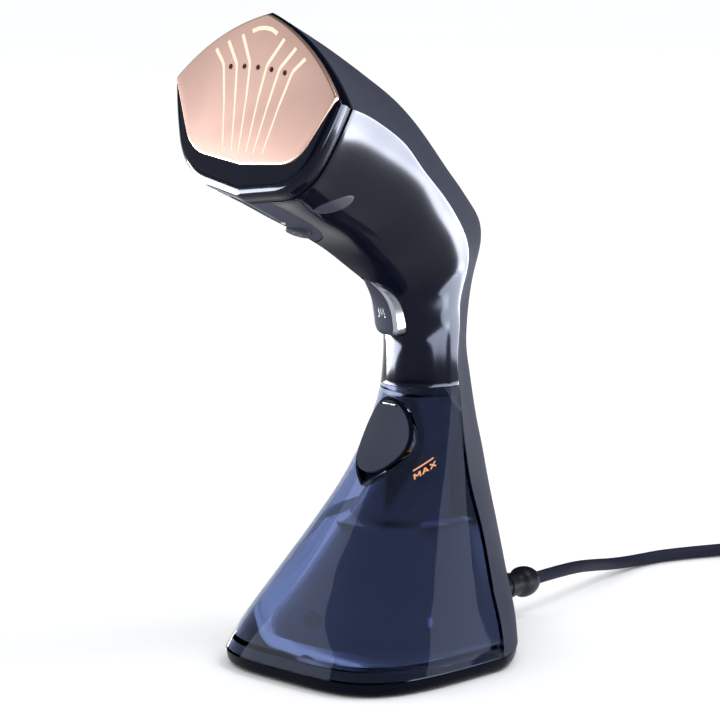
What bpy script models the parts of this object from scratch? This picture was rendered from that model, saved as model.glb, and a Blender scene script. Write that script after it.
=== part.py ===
"""Hand-held garment steamer: pentagonal heated plate, bent head, pistol neck, wrap-round water tank.

Lengths are in millimetres and become metres as each mesh is made. The design frame has x = 0 on
the plane of symmetry, the plate facing -y, the cord leaving towards +y and z = 0 under the feet.
An empty then moves everything along y, so that the origin is under the middle of the whole body.
"""

from math import ceil, cos, hypot, pi, radians, sin

import bmesh
import bpy
import numpy as np
from mathutils import Matrix, Vector

for old in list(bpy.data.objects):
    bpy.data.objects.remove(old)

MM = 0.001

# ---------------------------------------------------------------- driving sizes
GAP = 0.3  # kept between pieces that touch
WALL = 2.2  # moulded shells
TANK_WALL = 2.0
COLUMN_WALL = 1.8

# The outer body, as flat cuts from the head's front (first) down to the sole (last). Each cut
# stands on the line from a ridge point to a front point, both at x = 0. Along that line, as a
# share of it, lie the side corner, where the rear cover meets the front, and the jaw corner under
# the head. "Pentagon" is 1 where the lower side is straight with a jaw and 0 where it is round;
# "fullness" is the round side's exponent. The last two shape the roof: where its pull point lies,
# as a share of the way from side corner to ridge, and how far it stands out.
#   ridge y,z       front y,z     side share,x  jaw share,x  pentagon fullness roof share,pull
BODY_CUTS = [
    (-73.5, 351.0, -98.5, 260.5, 0.445, 60.5, 0.930, 42.0, 1.00, 2.30, 0.50, 13.0),
    (-61.8, 344.6, -86.9, 253.5, 0.421, 58.2, 0.930, 38.7, 1.00, 2.30, 0.50, 12.3),
    (-43.0, 334.5, -80.3, 250.3, 0.398, 55.5, 0.930, 36.5, 1.00, 2.30, 0.50, 11.0),
    (-12.0, 316.4, -58.0, 237.8, 0.384, 50.0, 0.920, 31.5, 1.00, 2.30, 0.50, 9.0),
    (21.2, 294.5, -37.0, 226.6, 0.428, 43.0, 0.900, 27.0, 1.00, 2.30, 0.50, 8.0),
    (51.8, 262.5, -15.5, 212.0, 0.397, 35.0, 0.880, 22.5, 0.80, 2.20, 0.50, 7.0),
    (72.0, 241.0, 0.0, 201.0, 0.415, 29.0, 0.850, 19.0, 0.55, 2.10, 0.50, 6.0),
    (84.8, 222.0, 9.0, 193.0, 0.500, 25.0, 0.850, 16.0, 0.30, 2.00, 0.50, 5.0),
    (78.5, 203.0, 14.0, 180.0, 0.550, 23.0, 0.850, 15.0, 0.10, 2.00, 0.50, 4.0),
    (73.2, 184.0, 17.0, 171.0, 0.520, 22.3, 0.850, 15.0, 0.00, 2.00, 0.50, 4.0),
    (71.7, 166.0, 17.5, 162.0, 0.540, 22.3, 0.850, 15.0, 0.00, 2.00, 0.50, 4.0),
    (75.2, 146.0, 16.5, 146.0, 0.565, 23.5, 0.850, 15.0, 0.00, 2.00, 0.50, 4.5),
    (80.0, 123.0, 6.5, 123.0, 0.510, 26.5, 0.850, 15.0, 0.00, 2.05, 0.45, 5.5),
    (86.5, 100.0, -6.0, 100.0, 0.503, 33.0, 0.850, 15.0, 0.00, 2.20, 0.40, 7.0),
    (92.0, 71.0, -25.0, 71.0, 0.466, 45.5, 0.850, 15.0, 0.00, 2.60, 0.33, 10.0),
    (96.0, 46.0, -43.5, 46.0, 0.452, 56.5, 0.850, 15.0, 0.00, 2.95, 0.30, 13.0),
    (98.5, 20.0, -62.0, 20.0, 0.420, 66.0, 0.850, 15.0, 0.00, 3.50, 0.27, 16.0),
    (99.0, 8.0, -68.0, 8.0, 0.413, 68.5, 0.850, 15.0, 0.00, 3.90, 0.27, 16.5),
]
ROOF_STEPS = 4  # from the ridge to a side corner
SIDE_STEPS = 10  # from a side corner to the front
JAW_ROUND = 0.2  # share of the lower side that its jaw's rounding takes, each way

# The head: its own frame lies in the plate's face. "up" climbs the plate, "in" goes into the head.
HEAD_LEAN = 15.5  # degrees that the plate leans back
PLATE_CENTRE = (-83.8, 313.8)  # y, z
PLATE_TIP, PLATE_CORNER, PLATE_JAW, PLATE_FOOT = (0, 36.8), (57.8, -0.8), (38.0, -36.3), (0, -40.0)
PLATE_ROOF_PULL = 10.5
PLATE_THICK = 3.2
STEAM_HOLE_R, STEAM_HOLE_PITCH, STEAM_HOLE_UP, STEAM_HOLE_COUNT = 1.45, 9.7, 9.4, 5
STEAM_ARCH_R = 160.0  # radius of the gentle arch that the holes lie on
CHAMBER_SHARE, CHAMBER_DEEP = 0.78, 16.0
CHAMBER_FLOOR = 4.0
BEZEL_BACK, BEZEL_RIDGE_BACK, BEZEL_FACE = 8.0, 4.9, 1.2
COVER_RIDGE_FRONT, COLLAR_BACK = 5.3, 12.8
COLLAR_SUNK = 0.9  # the collar lies this far below the shells around it
COLLAR_ROOF_REACH = 0.72  # share of the roof that the collar climbs from the side corner
BEZEL_FRONT = 1.0  # the bezel's rim stands this far behind the plate's face
HEATER_R, HEATER_SPREAD, HEATER_LEG = 3.2, 24.0, 22.0
NOZZLE_UP, THERMOSTAT_UP, FUSE_X = -2.0, -20.0, 13.0
SHIELD_THICK, SHIELD_SHARE, SHIELD_OFF = 1.6, 0.70, 16.5
POST_X, POST_UP = 31.0, -4.0

# Levels from the sole up
SOLE_TOP = 7.7
FOOT_PROUD = 0.8
TANK_BOTTOM, TANK_TOP = SOLE_TOP + GAP, 145.7
TANK_FLOOR, TANK_FLOOR_THICK, TANK_CEILING = 15.0, 2.4, 140.5
NECK_BOTTOM = TANK_TOP + GAP

# The hollow column behind the tank: level, half width, front y, fullness
COLUMN_CUTS = [
    (SOLE_TOP + GAP, 57.0, -45.0, 3.0),
    (20.0, 55.0, -42.5, 3.0),
    (34.0, 48.5, -33.0, 2.8),
    (46.0, 42.5, -24.0, 2.6),
    (58.0, 37.0, -16.0, 2.5),
    (71.0, 31.0, -6.0, 2.4),
    (85.0, 25.5, 6.0, 2.3),
    (100.0, 22.0, 15.5, 2.2),
    (123.0, 19.5, 24.0, 2.1),
    (TANK_TOP, 18.3, 27.5, 2.0),
]
COLUMN_STEPS = 7
COLUMN_GAP = 0.4
COLUMN_FLOOR = 2.0
CAVITY_SIDE = 1.6  # the tank's cavity stops this far in front of the side corners
OUTLET_LEVEL, OUTLET_LEAN = 26.0, 34.0  # the tank's outlet, square to the leaning column
OUTLET_R, OUTLET_FLANGE_R, OUTLET_BORE = 3.0, 5.0, 1.5

# The fill door, on the tank's front
DOOR_LEVEL, DOOR_HALF_WIDE, DOOR_HALF_TALL = 120.5, 15.3, 20.0
DOOR_Y, DOOR_LEAN = 5.2, 28.5
DOOR_PIVOT = (18.2, 0.6)  # up, out
DOOR_PROUD, DOOR_THICK = 0.9, 3.0
CUP_MARGIN, CUP_WALL, CUP_POINT, CUP_DEEP, CUP_FLOOR = 2.0, 1.2, 27.5, 4.4, 1.6
THROAT_R = 9.0
DOOR_PIN_R, DOOR_PIN_HALF = 0.7, 4.6
SEAL_R, SEAL_WIDE = 10.2, 1.8

# The trigger, as level, face y, face half width, base half width
TRIGGER_CUTS = [
    (206.3, -5.6, 0.7, 1.2),
    (202.5, -2.2, 2.6, 3.8),
    (197.5, 2.2, 4.4, 6.2),
    (192.0, 5.4, 5.5, 7.6),
    (185.5, 7.4, 6.1, 8.4),
    (179.5, 8.5, 6.2, 8.5),
    (176.0, 9.3, 5.2, 7.6),
    (174.2, 10.8, 3.4, 5.6),
]
TRIGGER_BACK, TRIGGER_SHOULDER = 20.0, 2.2
TRIGGER_PIVOT = (15.5, 202.0)  # y, z
EAR_OUT, SPRING_R, SPRING_WIRE = 8.7, 2.4, 0.35
SWITCH_Y, SWITCH_LEVEL, PLUNGER_R = 29.5, 181.0, 1.2
TRIGGER_PIN_R = 1.2
TRIGGER_GAP = 0.5

# The control panel under the head
UNDER_POINT, UNDER_FALL = (-58.0, 237.8), 29.5  # y, z and slope of the underside there
PANEL_HALF_WIDE, PANEL_FRONT_RUN, PANEL_ROUND_RUN, PANEL_TIP_RUN = 15.5, -38.0, -8.7, 18.0
PANEL_THICK, PANEL_SUNK = 1.8, 0.5
BUTTON_RUN, BUTTON_HALF_WIDE, BUTTON_HALF_LONG, BUTTON_PROUD, BUTTON_DEEP = 4.6, 7.5, 5.4, 0.5, 4.5
BUTTON_TRAVEL = 0.8
LIGHT_RUN, LIGHT_R = -7.6, 1.3
BOARD_RUN, BOARD_DEEP = 2.2, 11.2

# Pump in the neck
PUMP_Y, PUMP_LOW, PUMP_R, PUMP_COIL_TALL = 44.0, 150.0, 12.0, 24.0
PUMP_BODY_R, PUMP_BODY_TALL, NOZZLE_R, NOZZLE_TALL = 6.6, 40.0, 2.2, 6.0
HOSE_R = 2.8

# Base
FOOT_R, FOOT_DEEP = 6.0, 2.4
FOOT_SPOTS = [(44.0, -44.0), (26.0, 66.0)]
SCREW_SPOTS = [(40.0, -18.0), (40.0, 20.0)]
SCREW_R, SCREW_HEAD_R = 1.5, 3.0

# Cord, its swivel and its plug
CORD_R = 3.5
CORD_LENGTH = 2500.0
SWIVEL_LEVEL = 20.0
SWIVEL_NECK_R, SWIVEL_BELL_R, SWIVEL_OUT = 5.8, 8.6, 30.0  # how far its end stands from the ridge
SWIVEL_IN = 9.0
BUSH_R, BUSH_WALL = 8.2, 2.1
COIL_X, COIL_Y, COIL_INNER, COIL_OUTER, COIL_TALL = 62.0, 327.0, 30.0, 51.4, 21.4
TAIL_X, TAIL_ROUTE = 111.3, [(303.0, 22.0), (293.0, 19.6), (287.0, 18.5), (283.7, 18.2)]  # y, z
PLUG_LEVEL, PLUG_START_Y = 18.2, 283.0
PLUG_RELIEF, PLUG_LONG, PLUG_R, PLUG_PIN_R, PLUG_PIN_LONG, PLUG_PIN_PITCH = 30.0, 36.0, 18.0, 2.4, 19.0, 19.0
# the cord's route on the floor, x, y and height of its middle, up to the coil
CORD_ROUTE = [
    (0.0, 129.3, 20.0), (-0.6, 141.0, 20.0), (-3.4, 157.0, 19.0), (-8.6, 176.0, 16.6),
    (-15.2, 197.0, 12.6), (-21.4, 217.0, 8.4), (-25.8, 236.0, 5.2), (-26.8, 252.0, 3.8),
    (-24.5, 268.0, 3.6), (-18.5, 284.0, 3.6), (-11.0, 300.0, 3.6),
    (-3.2, 316.0, 3.6), (4.4, 333.0, 3.6), (11.9, 350.7, 3.6),
]

BODY_FRONT_Y, BODY_BACK_Y = -97.5, BODY_CUTS[-1][0] + SWIVEL_OUT
FRAME_SHIFT = -(BODY_FRONT_Y + BODY_BACK_Y) / 2

# ---------------------------------------------------------------- small tools
frame = bpy.data.objects.new("steamer_frame", None)
frame.location = (0, FRAME_SHIFT * MM, 0)
bpy.context.collection.objects.link(frame)


def finish(name, colour, roughness, metallic=0.0, alpha=1.0):
    """A plain material in the part's colour."""
    material = bpy.data.materials.new(name)
    material.use_nodes = True
    shader = material.node_tree.nodes["Principled BSDF"]
    shader.inputs["Base Color"].default_value = (*colour, 1)
    shader.inputs["Roughness"].default_value = roughness
    shader.inputs["Metallic"].default_value = metallic
    shader.inputs["Alpha"].default_value = alpha
    material.diffuse_color = (*colour, alpha)
    return material


SLATE = finish("matte_slate", (0.085, 0.092, 0.125), 0.55)
NAVY = finish("gloss_navy", (0.012, 0.015, 0.035), 0.12)
ROSE = finish("rose_plate", (0.72, 0.48, 0.40), 0.28, 0.9)
CLEAR = finish("clear_tank", (0.05, 0.09, 0.22), 0.05, 0.0, 0.4)
DARK = finish("dark_plastic", (0.01, 0.012, 0.022), 0.4)
RUBBER = finish("black_rubber", (0.012, 0.013, 0.018), 0.7)
SILICONE = finish("silicone", (0.55, 0.56, 0.58), 0.5)
ALUMINIUM = finish("cast_aluminium", (0.6, 0.6, 0.61), 0.45, 1.0)
STEEL = finish("steel", (0.6, 0.6, 0.6), 0.3, 1.0)
COPPER = finish("copper", (0.75, 0.36, 0.2), 0.35, 1.0)
BOARD = finish("circuit_green", (0.02, 0.16, 0.07), 0.5)
MICA = finish("mica_sheet", (0.5, 0.46, 0.36), 0.7)
SHEATH = finish("cord_sheath", (0.035, 0.038, 0.07), 0.5)


def put(name, mesh, material, origin=(0, 0, 0)):
    """Make the object that a node becomes, with its origin on its joint if it moves."""
    mesh.materials.append(material)
    mesh.transform(Matrix.Translation(-Vector(origin)))
    mesh.transform(Matrix.Scale(MM, 4))
    thing = bpy.data.objects.new(name, mesh)
    thing.location = Vector(origin) * MM
    thing.parent = frame
    bpy.context.collection.objects.link(thing)
    mesh.shade_smooth()
    mesh.set_sharp_from_angle(angle=radians(35))
    return thing


def solid(name, points, faces, material, origin=(0, 0, 0)):
    """A closed body from its points and faces, all turned to face outward."""
    shape = bmesh.new()
    corners = [shape.verts.new(p) for p in points]
    for face in faces:
        shape.faces.new([corners[i] for i in face])
    bmesh.ops.recalc_face_normals(shape, faces=shape.faces[:])
    mesh = bpy.data.meshes.new(name)
    shape.to_mesh(mesh)
    shape.free()
    return put(name, mesh, material, origin)


def loft(name, loops, material, origin=(0, 0, 0), ring=False):
    """Skin closed loops of equal length; the ends are capped, or joined to each other in a ring."""
    count = len(loops[0])
    points = [p for loop in loops for p in loop]
    rows = len(loops) if ring else len(loops) - 1
    faces = [
        (
            k * count + i,
            k * count + (i + 1) % count,
            (k + 1) % len(loops) * count + (i + 1) % count,
            (k + 1) % len(loops) * count + i,
        )
        for k in range(rows)
        for i in range(count)
    ]
    if not ring:
        faces += [tuple(range(count))[::-1], tuple(range(len(points) - count, len(points)))]
    return solid(name, points, faces, material, origin)


def along(start, end):
    """Two unit directions across the line from start to end, and the line's own."""
    way = (Vector(end) - Vector(start)).normalized()
    side = Vector((1, 0, 0)) if abs(way.x) < 0.9 else Vector((0, 1, 0))
    first = way.cross(side).normalized()
    return first, way.cross(first).normalized(), way


def turned(name, start, way, profile, material, sides=24, origin=(0, 0, 0)):
    """A turned piece: profile is (radius, distance along the way) pairs, closed on itself."""
    start, way = Vector(start), Vector(way).normalized()
    first, second, way = along(start, start + way)
    loops = []
    for k in range(sides):
        angle = 2 * pi * k / sides
        out = first * cos(angle) + second * sin(angle)
        loops.append([start + out * r + way * d for r, d in profile])
    return loft(name, loops, material, origin, ring=True)


def rod(name, start, end, radius, material, sides=16, origin=(0, 0, 0)):
    """A plain round bar between two points."""
    first, second, way = along(start, end)
    angles = [2 * pi * k / sides for k in range(sides)]
    loops = [
        [Vector(p) + (first * cos(a) + second * sin(a)) * radius for a in angles] for p in (start, end)
    ]
    return loft(name, loops, material, origin)


def block(name, centre, size, material, turn=0.0, origin=(0, 0, 0), bevel=0.0):
    """A box, turned about x by an angle in degrees."""
    spin = Matrix.Rotation(radians(turn), 3, "X")
    x, y, z = (s / 2 for s in size)
    loops = [
        [Vector(centre) + spin @ Vector((a * x, b * y, c * z)) for a, b in ((1, 1), (-1, 1), (-1, -1), (1, -1))]
        for c in (-1, 1)
    ]
    thing = loft(name, loops, material, origin)
    if bevel:
        round_edges(thing, bevel)
    return thing


def round_edges(thing, width, segments=2, angle=40):
    """Round the sharp edges with a Bevel modifier."""
    bevel = thing.modifiers.new("rounded", "BEVEL")
    bevel.width = width * MM
    bevel.segments = segments
    bevel.limit_method = "ANGLE"
    bevel.angle_limit = radians(angle)


def boolean(thing, other, operation="DIFFERENCE"):
    """Cut, join or trim one object with another, which then only guides."""
    change = thing.modifiers.new(operation.lower(), "BOOLEAN")
    change.operation = operation
    change.object = other
    change.solver = "EXACT"
    other.hide_render = True
    other.display_type = "WIRE"


def smooth_route(route, step):
    """Points every step or so along a smooth curve through the route's points."""
    route = [Vector(p) for p in route]
    ends = [2 * route[0] - route[1], *route, 2 * route[-1] - route[-2]]
    points = []
    for a, b, c, d in zip(ends, ends[1:], ends[2:], ends[3:]):
        pieces = max(1, round((c - b).length / step))
        for k in range(pieces):
            u = k / pieces
            points.append(
                0.5 * (2 * b + (c - a) * u + (2 * a - 5 * b + 4 * c - d) * u**2 + (3 * b - a - 3 * c + d) * u**3)
            )
    return [*points, route[-1]]


def hose(name, route, radius, material, step=6.0, resolution=2):
    """A round flexible piece along a smooth route, with closed ends."""
    points = smooth_route(route, step)
    curve = bpy.data.curves.new(name, "CURVE")
    curve.dimensions = "3D"
    curve.bevel_depth = radius * MM
    curve.bevel_resolution = resolution
    curve.use_fill_caps = True
    spline = curve.splines.new("POLY")
    spline.points.add(len(points) - 1)
    for slot, point in zip(spline.points, points):
        slot.co = (*(point * MM), 1)
    curve.materials.append(material)
    thing = bpy.data.objects.new(name, curve)
    thing.parent = frame
    bpy.context.collection.objects.link(thing)
    return thing


# ---------------------------------------------------------------- the outer body
def smooth_table(places, values):
    """A smooth curve through a table's rows that never swings past them."""
    places, values = np.asarray(places, float), np.asarray(values, float)
    gaps = np.diff(places)[:, None]
    slopes = np.diff(values, axis=0) / gaps
    tangents = np.zeros_like(values)
    same = slopes[:-1] * slopes[1:] > 0
    near, far = 2 * gaps[1:] + gaps[:-1], gaps[1:] + 2 * gaps[:-1]
    safe = np.where(same, slopes[:-1], 1.0), np.where(same, slopes[1:], 1.0)
    tangents[1:-1] = np.where(same, (near + far) / (near / safe[0] + far / safe[1]), 0.0)
    tangents[0], tangents[-1] = slopes[0], slopes[-1]

    def at(place):
        k = int(np.clip(np.searchsorted(places, place, side="right") - 1, 0, len(places) - 2))
        h = places[k + 1] - places[k]
        u = (place - places[k]) / h
        if u < 0:
            return values[0] + tangents[0] * (place - places[0])
        if u > 1:
            return values[-1] + tangents[-1] * (place - places[-1])
        return (
            values[k] * (1 + 2 * u) * (1 - u) ** 2
            + tangents[k] * h * u * (1 - u) ** 2
            + values[k + 1] * u**2 * (3 - 2 * u)
            + tangents[k + 1] * h * u**2 * (u - 1)
        )

    return at


cuts = np.array(BODY_CUTS)
middles = (cuts[:, 0:2] + cuts[:, 2:4]) / 2
CUT_PLACES = np.concatenate([[0], np.cumsum(np.hypot(*np.diff(middles, axis=0).T))])
body_cut = smooth_table(CUT_PLACES, cuts)
LEVEL_CUT = next(k for k, cut in enumerate(BODY_CUTS) if cut[1] == cut[3])  # level from here down
RIDGE, RIGHT, FRONT, LEFT = 0, ROOF_STEPS, ROOF_STEPS + SIDE_STEPS, ROOF_STEPS + 2 * SIDE_STEPS
LOOP = 2 * (ROOF_STEPS + SIDE_STEPS)


def place_at_level(level):
    """Where along the body, below the neck, a level cut lies at this height."""
    return float(np.interp(-level, -cuts[LEVEL_CUT:, 1], CUT_PLACES[LEVEL_CUT:]))


def half_outline(cut):
    """Half of one cut from ridge to front, as (x, distance from the ridge) in the cut's own plane."""
    long = hypot(cut[2] - cut[0], cut[3] - cut[1])
    corner = Vector((cut[5], cut[4] * long))
    jaw, front = Vector((cut[7], cut[6] * long)), Vector((0, long))
    roof = corner.normalized()
    pull = corner * (1 - cut[10]) + Vector((roof.y, -roof.x)) * cut[11]
    points = []
    for k in range(ROOF_STEPS):
        u = k / ROOF_STEPS
        points.append(pull * (2 * u * (1 - u)) + corner * u**2)
    for k in range(SIDE_STEPS + 1):
        u = k / SIDE_STEPS
        angle, power = u * pi / 2, 2 / cut[9]
        round_side = Vector(
            (corner.x * max(cos(angle), 0) ** power, corner.y + (long - corner.y) * sin(angle) ** power)
        )
        if abs(u - 0.5) < JAW_ROUND:
            v = (u - 0.5 + JAW_ROUND) / (2 * JAW_ROUND)
            before, after = jaw.lerp(corner, 2 * JAW_ROUND), jaw.lerp(front, 2 * JAW_ROUND)
            straight_side = before * (1 - v) ** 2 + jaw * (2 * v * (1 - v)) + after * v**2
        elif u < 0.5:
            straight_side = corner.lerp(jaw, 2 * u)
        else:
            straight_side = jaw.lerp(front, 2 * u - 1)
        points.append(round_side.lerp(straight_side, cut[8]))
    return points


def body_loop(place, inset=0.0):
    """One cut's whole outline in space, from the ridge round by +x, inset by a wall or a clearance."""
    cut = body_cut(place)
    half = half_outline(cut)
    flat = half + [Vector((-p.x, p.y)) for p in half[-2:0:-1]]
    if inset:
        flat = inset_loop(flat, inset)
    long = hypot(cut[2] - cut[0], cut[3] - cut[1])
    run, fall = (cut[2] - cut[0]) / long, (cut[3] - cut[1]) / long
    return [Vector((p.x, cut[0] + run * p.y, cut[1] + fall * p.y)) for p in flat]


def inset_loop(flat, inset):
    """Move each side of a closed outline inward by inset, with mitred corners."""
    moved = []
    for before, here, after in zip([flat[-1], *flat[:-1]], flat, [*flat[1:], flat[0]]):
        one, two = (here - before).normalized(), (after - here).normalized()
        normal = (Vector((-one.y, one.x)) + Vector((-two.y, two.x))).normalized()
        share = max(0.35, normal.dot(Vector((-one.y, one.x))))
        moved.append(here + normal * (inset / share))
    return moved


def on_loop(loop, index, slide=0.0):
    """A loop's point, slid along the outline by a distance."""
    here = loop[index % LOOP]
    there = loop[(index + (1 if slide > 0 else -1)) % LOOP]
    return here.lerp(there, min(1.0, abs(slide) / max((there - here).length, 1e-6)))


def shell(name, rows, first, last, inset, wall, material, edge=GAP / 2, origin=(0, 0, 0)):
    """A curved plate of the body, between two places of the outline and along the rows given.

    A row is a place along the body, or a function of the outline index that gives one.
    """
    columns = range(first, last + 1)
    grid = []
    for row in rows:
        outer, inner = [], []
        for index in columns:
            place = row(index % LOOP) if callable(row) else row
            slide = edge if index == first else -edge if index == last else 0.0
            outer.append(on_loop(body_loop(place, inset), index, slide))
            inner.append(on_loop(body_loop(place, inset + wall), index, slide))
        grid.append(outer + inner[::-1])
    return loft(name, grid, material, origin)


def closed_ring(name, rows, inset, wall, material):
    """A plate of the body that goes all the way round."""
    outer, inner = ([[] for _ in rows] for _ in range(2))
    for k, row in enumerate(rows):
        for index in range(LOOP):
            place = row(index) if callable(row) else row
            outer[k].append(body_loop(place, inset)[index])
            inner[k].append(body_loop(place, inset + wall)[index])
    return loft(name, outer + inner[::-1], material, ring=True)


# ---------------------------------------------------------------- the head
def in_head(x, up, deep):
    """A point in the plate's frame: across, up the plate, and into the head."""
    lean = radians(HEAD_LEAN)
    y = PLATE_CENTRE[0] + up * sin(lean) + deep * cos(lean)
    z = PLATE_CENTRE[1] + up * cos(lean) - deep * sin(lean)
    return Vector((x, y, z))


INTO_HEAD = in_head(0, 0, 1) - in_head(0, 0, 0)


def plate_outline(share=1.0, grow=0.0):
    """The plate's five-cornered outline, as (x, up) points, scaled by a share or grown all round."""
    tip, corner, jaw, foot = (Vector(p) for p in (PLATE_TIP, PLATE_CORNER, PLATE_JAW, PLATE_FOOT))
    pull = tip.lerp(corner, 0.5) + Vector((tip.y - corner.y, corner.x)).normalized() * PLATE_ROOF_PULL
    half = []
    for k in range(5):
        u = k / 5
        half.append(tip * (1 - u) ** 2 + pull * (2 * u * (1 - u)) + corner * u**2)
    half += [corner, corner.lerp(jaw, 0.7)]
    for v in (0.33, 0.67):
        before, after = jaw.lerp(corner, 0.3), jaw.lerp(foot, 0.3)
        half.append(before * (1 - v) ** 2 + jaw * (2 * v * (1 - v)) + after * v**2)
    half += [jaw.lerp(foot, 0.3), foot]
    loop = half + [Vector((-p.x, p.y)) for p in half[-2:0:-1]]
    loop = [p * share for p in loop]
    return inset_loop(loop[::-1], -grow)[::-1] if grow else loop


def head_prism(name, outline, front, back, material):
    """A straight piece in the head's frame, from its outline and two depths."""
    return loft(name, [[in_head(p.x, p.y, d) for p in outline] for d in (front, back)], material)


def bezel_back(index):
    """Where the bezel ends: level round the jaw, and rising to the plate's tip along the roof."""
    share = roof_share(index)
    return BEZEL_BACK + (BEZEL_RIDGE_BACK - BEZEL_BACK) * share


def cover_front(index):
    """Where the rear cover and the front shell begin."""
    share = roof_share(index)
    return COLLAR_BACK + GAP + (COVER_RIDGE_FRONT - COLLAR_BACK - GAP) * share


def roof_share(index):
    """0 at and below a side corner, 1 on the ridge."""
    index = index % LOOP
    index = min(index, LOOP - index)
    return max(0.0, 1 - index / ROOF_STEPS)


def make_head():
    plate = head_prism("soleplate", plate_outline(), 0, PLATE_THICK, ROSE)
    round_edges(plate, 1.0)
    for k in range(STEAM_HOLE_COUNT):
        x = (k - (STEAM_HOLE_COUNT - 1) / 2) * STEAM_HOLE_PITCH
        up = STEAM_HOLE_UP - x**2 / (2 * STEAM_ARCH_R)
        drill = rod(f"drill_steam_{k}", in_head(x, up, -2), in_head(x, up, 6), STEAM_HOLE_R, DARK, 12)
        boolean(plate, drill)

    bezel = closed_ring("bezel", [lambda i: BEZEL_FRONT, bezel_back], 0.0, 3.2, NAVY)
    face = [body_loop(BEZEL_FRONT, 0.4), body_loop(PLATE_THICK + GAP + BEZEL_FACE, 0.6)]
    boolean(bezel, loft("guide_bezel_face", face, NAVY), "UNION")
    pocket = head_prism("cut_plate_pocket", plate_outline(1.0, GAP), -5, PLATE_THICK + GAP, DARK)
    boolean(bezel, pocket)
    boolean(bezel, head_prism("cut_chamber_mouth", plate_outline(CHAMBER_SHARE, 0.6), -5, 40, DARK))

    climb = round(ROOF_STEPS * COLLAR_ROOF_REACH)
    rows = [lambda i: bezel_back(i) + GAP, lambda i: cover_front(i) - GAP]
    shell("collar", rows, RIGHT - climb, LEFT + climb, COLLAR_SUNK, 2.6, DARK)


def make_chamber():
    """The aluminium steam chamber behind the plate, open towards it, with what is fixed on its back."""
    front, back = PLATE_THICK + GAP, PLATE_THICK + GAP + CHAMBER_DEEP
    chamber = head_prism("steam_chamber", plate_outline(CHAMBER_SHARE), front, back, ALUMINIUM)
    hollow = head_prism(
        "cut_chamber_hollow", plate_outline(CHAMBER_SHARE, -4), front - 3, back - CHAMBER_FLOOR, DARK
    )
    boolean(chamber, hollow)

    level = back + GAP + HEATER_R
    arch = [
        (HEATER_SPREAD * cos(a), 2 + 0.55 * HEATER_SPREAD * sin(a)) for a in (pi * k / 6 for k in range(7))
    ]
    legs = [(HEATER_SPREAD, 2 - HEATER_LEG), (HEATER_SPREAD, 2 - HEATER_LEG / 2)]
    route = legs + arch + [(-x, up) for x, up in legs[::-1]]
    hose("heater_element", [in_head(x, up, level) for x, up in route], HEATER_R, STEEL, 7.0, 2)

    nozzle = [(0.01, 0), (5, 0), (5, 3), (NOZZLE_R, 4), (NOZZLE_R, 11), (0.01, 11)]
    turned("inlet_nozzle", in_head(0, NOZZLE_UP, back + GAP), INTO_HEAD, nozzle, COPPER, 16)
    turned(
        "thermostat",
        in_head(0, THERMOSTAT_UP, back + GAP),
        INTO_HEAD,
        [(0.01, 0), (6.5, 0), (6.5, 5), (4, 5.6), (4, 8), (0.01, 8)],
        DARK,
        20,
    )
    rod(
        "thermal_fuse",
        in_head(FUSE_X, -12, back + GAP + 2.1),
        in_head(FUSE_X, 2, back + GAP + 2.1),
        2.0,
        COPPER,
        12,
    )
    shield_front = back + SHIELD_OFF
    shield = head_prism(
        "heat_shield", plate_outline(SHIELD_SHARE), shield_front, shield_front + SHIELD_THICK, MICA
    )
    opening = rod(
        "cut_shield_hose",
        in_head(0, NOZZLE_UP, shield_front - 4),
        in_head(0, NOZZLE_UP, shield_front + 6),
        HOSE_R + 1.5,
        DARK,
    )
    boolean(shield, opening)
    post = [(0.01, 0), (3, 0), (3, SHIELD_OFF - 2 * GAP), (0.01, SHIELD_OFF - 2 * GAP)]
    for side, x in (("left", -POST_X), ("right", POST_X)):
        turned(f"shield_post_{side}", in_head(x, POST_UP, back + GAP), INTO_HEAD, post, STEEL, 14)


# ---------------------------------------------------------------- shells
def under_head(x, run, deep):
    """A point under the head: across, back along the underside, and up into the head."""
    fall = radians(UNDER_FALL)
    y = UNDER_POINT[0] + run * cos(fall) + deep * sin(fall)
    z = UNDER_POINT[1] - run * sin(fall) + deep * cos(fall)
    return Vector((x, y, z))


def under_prism(name, outline, low, high, material):
    """A straight piece standing on the underside's frame, from its (x, run) outline."""
    return loft(name, [[under_head(x, run, d) for x, run in outline] for d in (low, high)], material)


def tongue_outline(grow=0.0):
    """The control panel's outline: straight sides from the collar and a long round end."""
    half, tip = PANEL_HALF_WIDE + grow, PANEL_TIP_RUN + grow
    points = [(half, PANEL_FRONT_RUN)]
    for k in range(9):
        a = pi / 2 * k / 8
        points.append((half * cos(a), PANEL_ROUND_RUN + (tip - PANEL_ROUND_RUN) * sin(a)))
    return points + [(-x, run) for x, run in points[-2::-1]]


def oval(half_x, half_y, steps=20, y=0.0):
    """Points round an oval."""
    return [
        (half_x * cos(2 * pi * k / steps), y + half_y * sin(2 * pi * k / steps)) for k in range(steps)
    ]


def rows_between(first, last, places):
    """A row at each end and every place that lies well between them."""
    return [first] + [p for p in places if first + 3 < p < last - 3] + [last]


def body_rows(step=9.0):
    """Places along the body, closer together round the bend."""
    steps = []
    for here, there in zip(CUT_PLACES, CUT_PLACES[1:]):
        pieces = ceil((there - here) / step) if (there - here) < 40 else ceil((there - here) / (2 * step))
        steps += [here + (there - here) * k / pieces for k in range(pieces)]
    return steps


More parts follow.
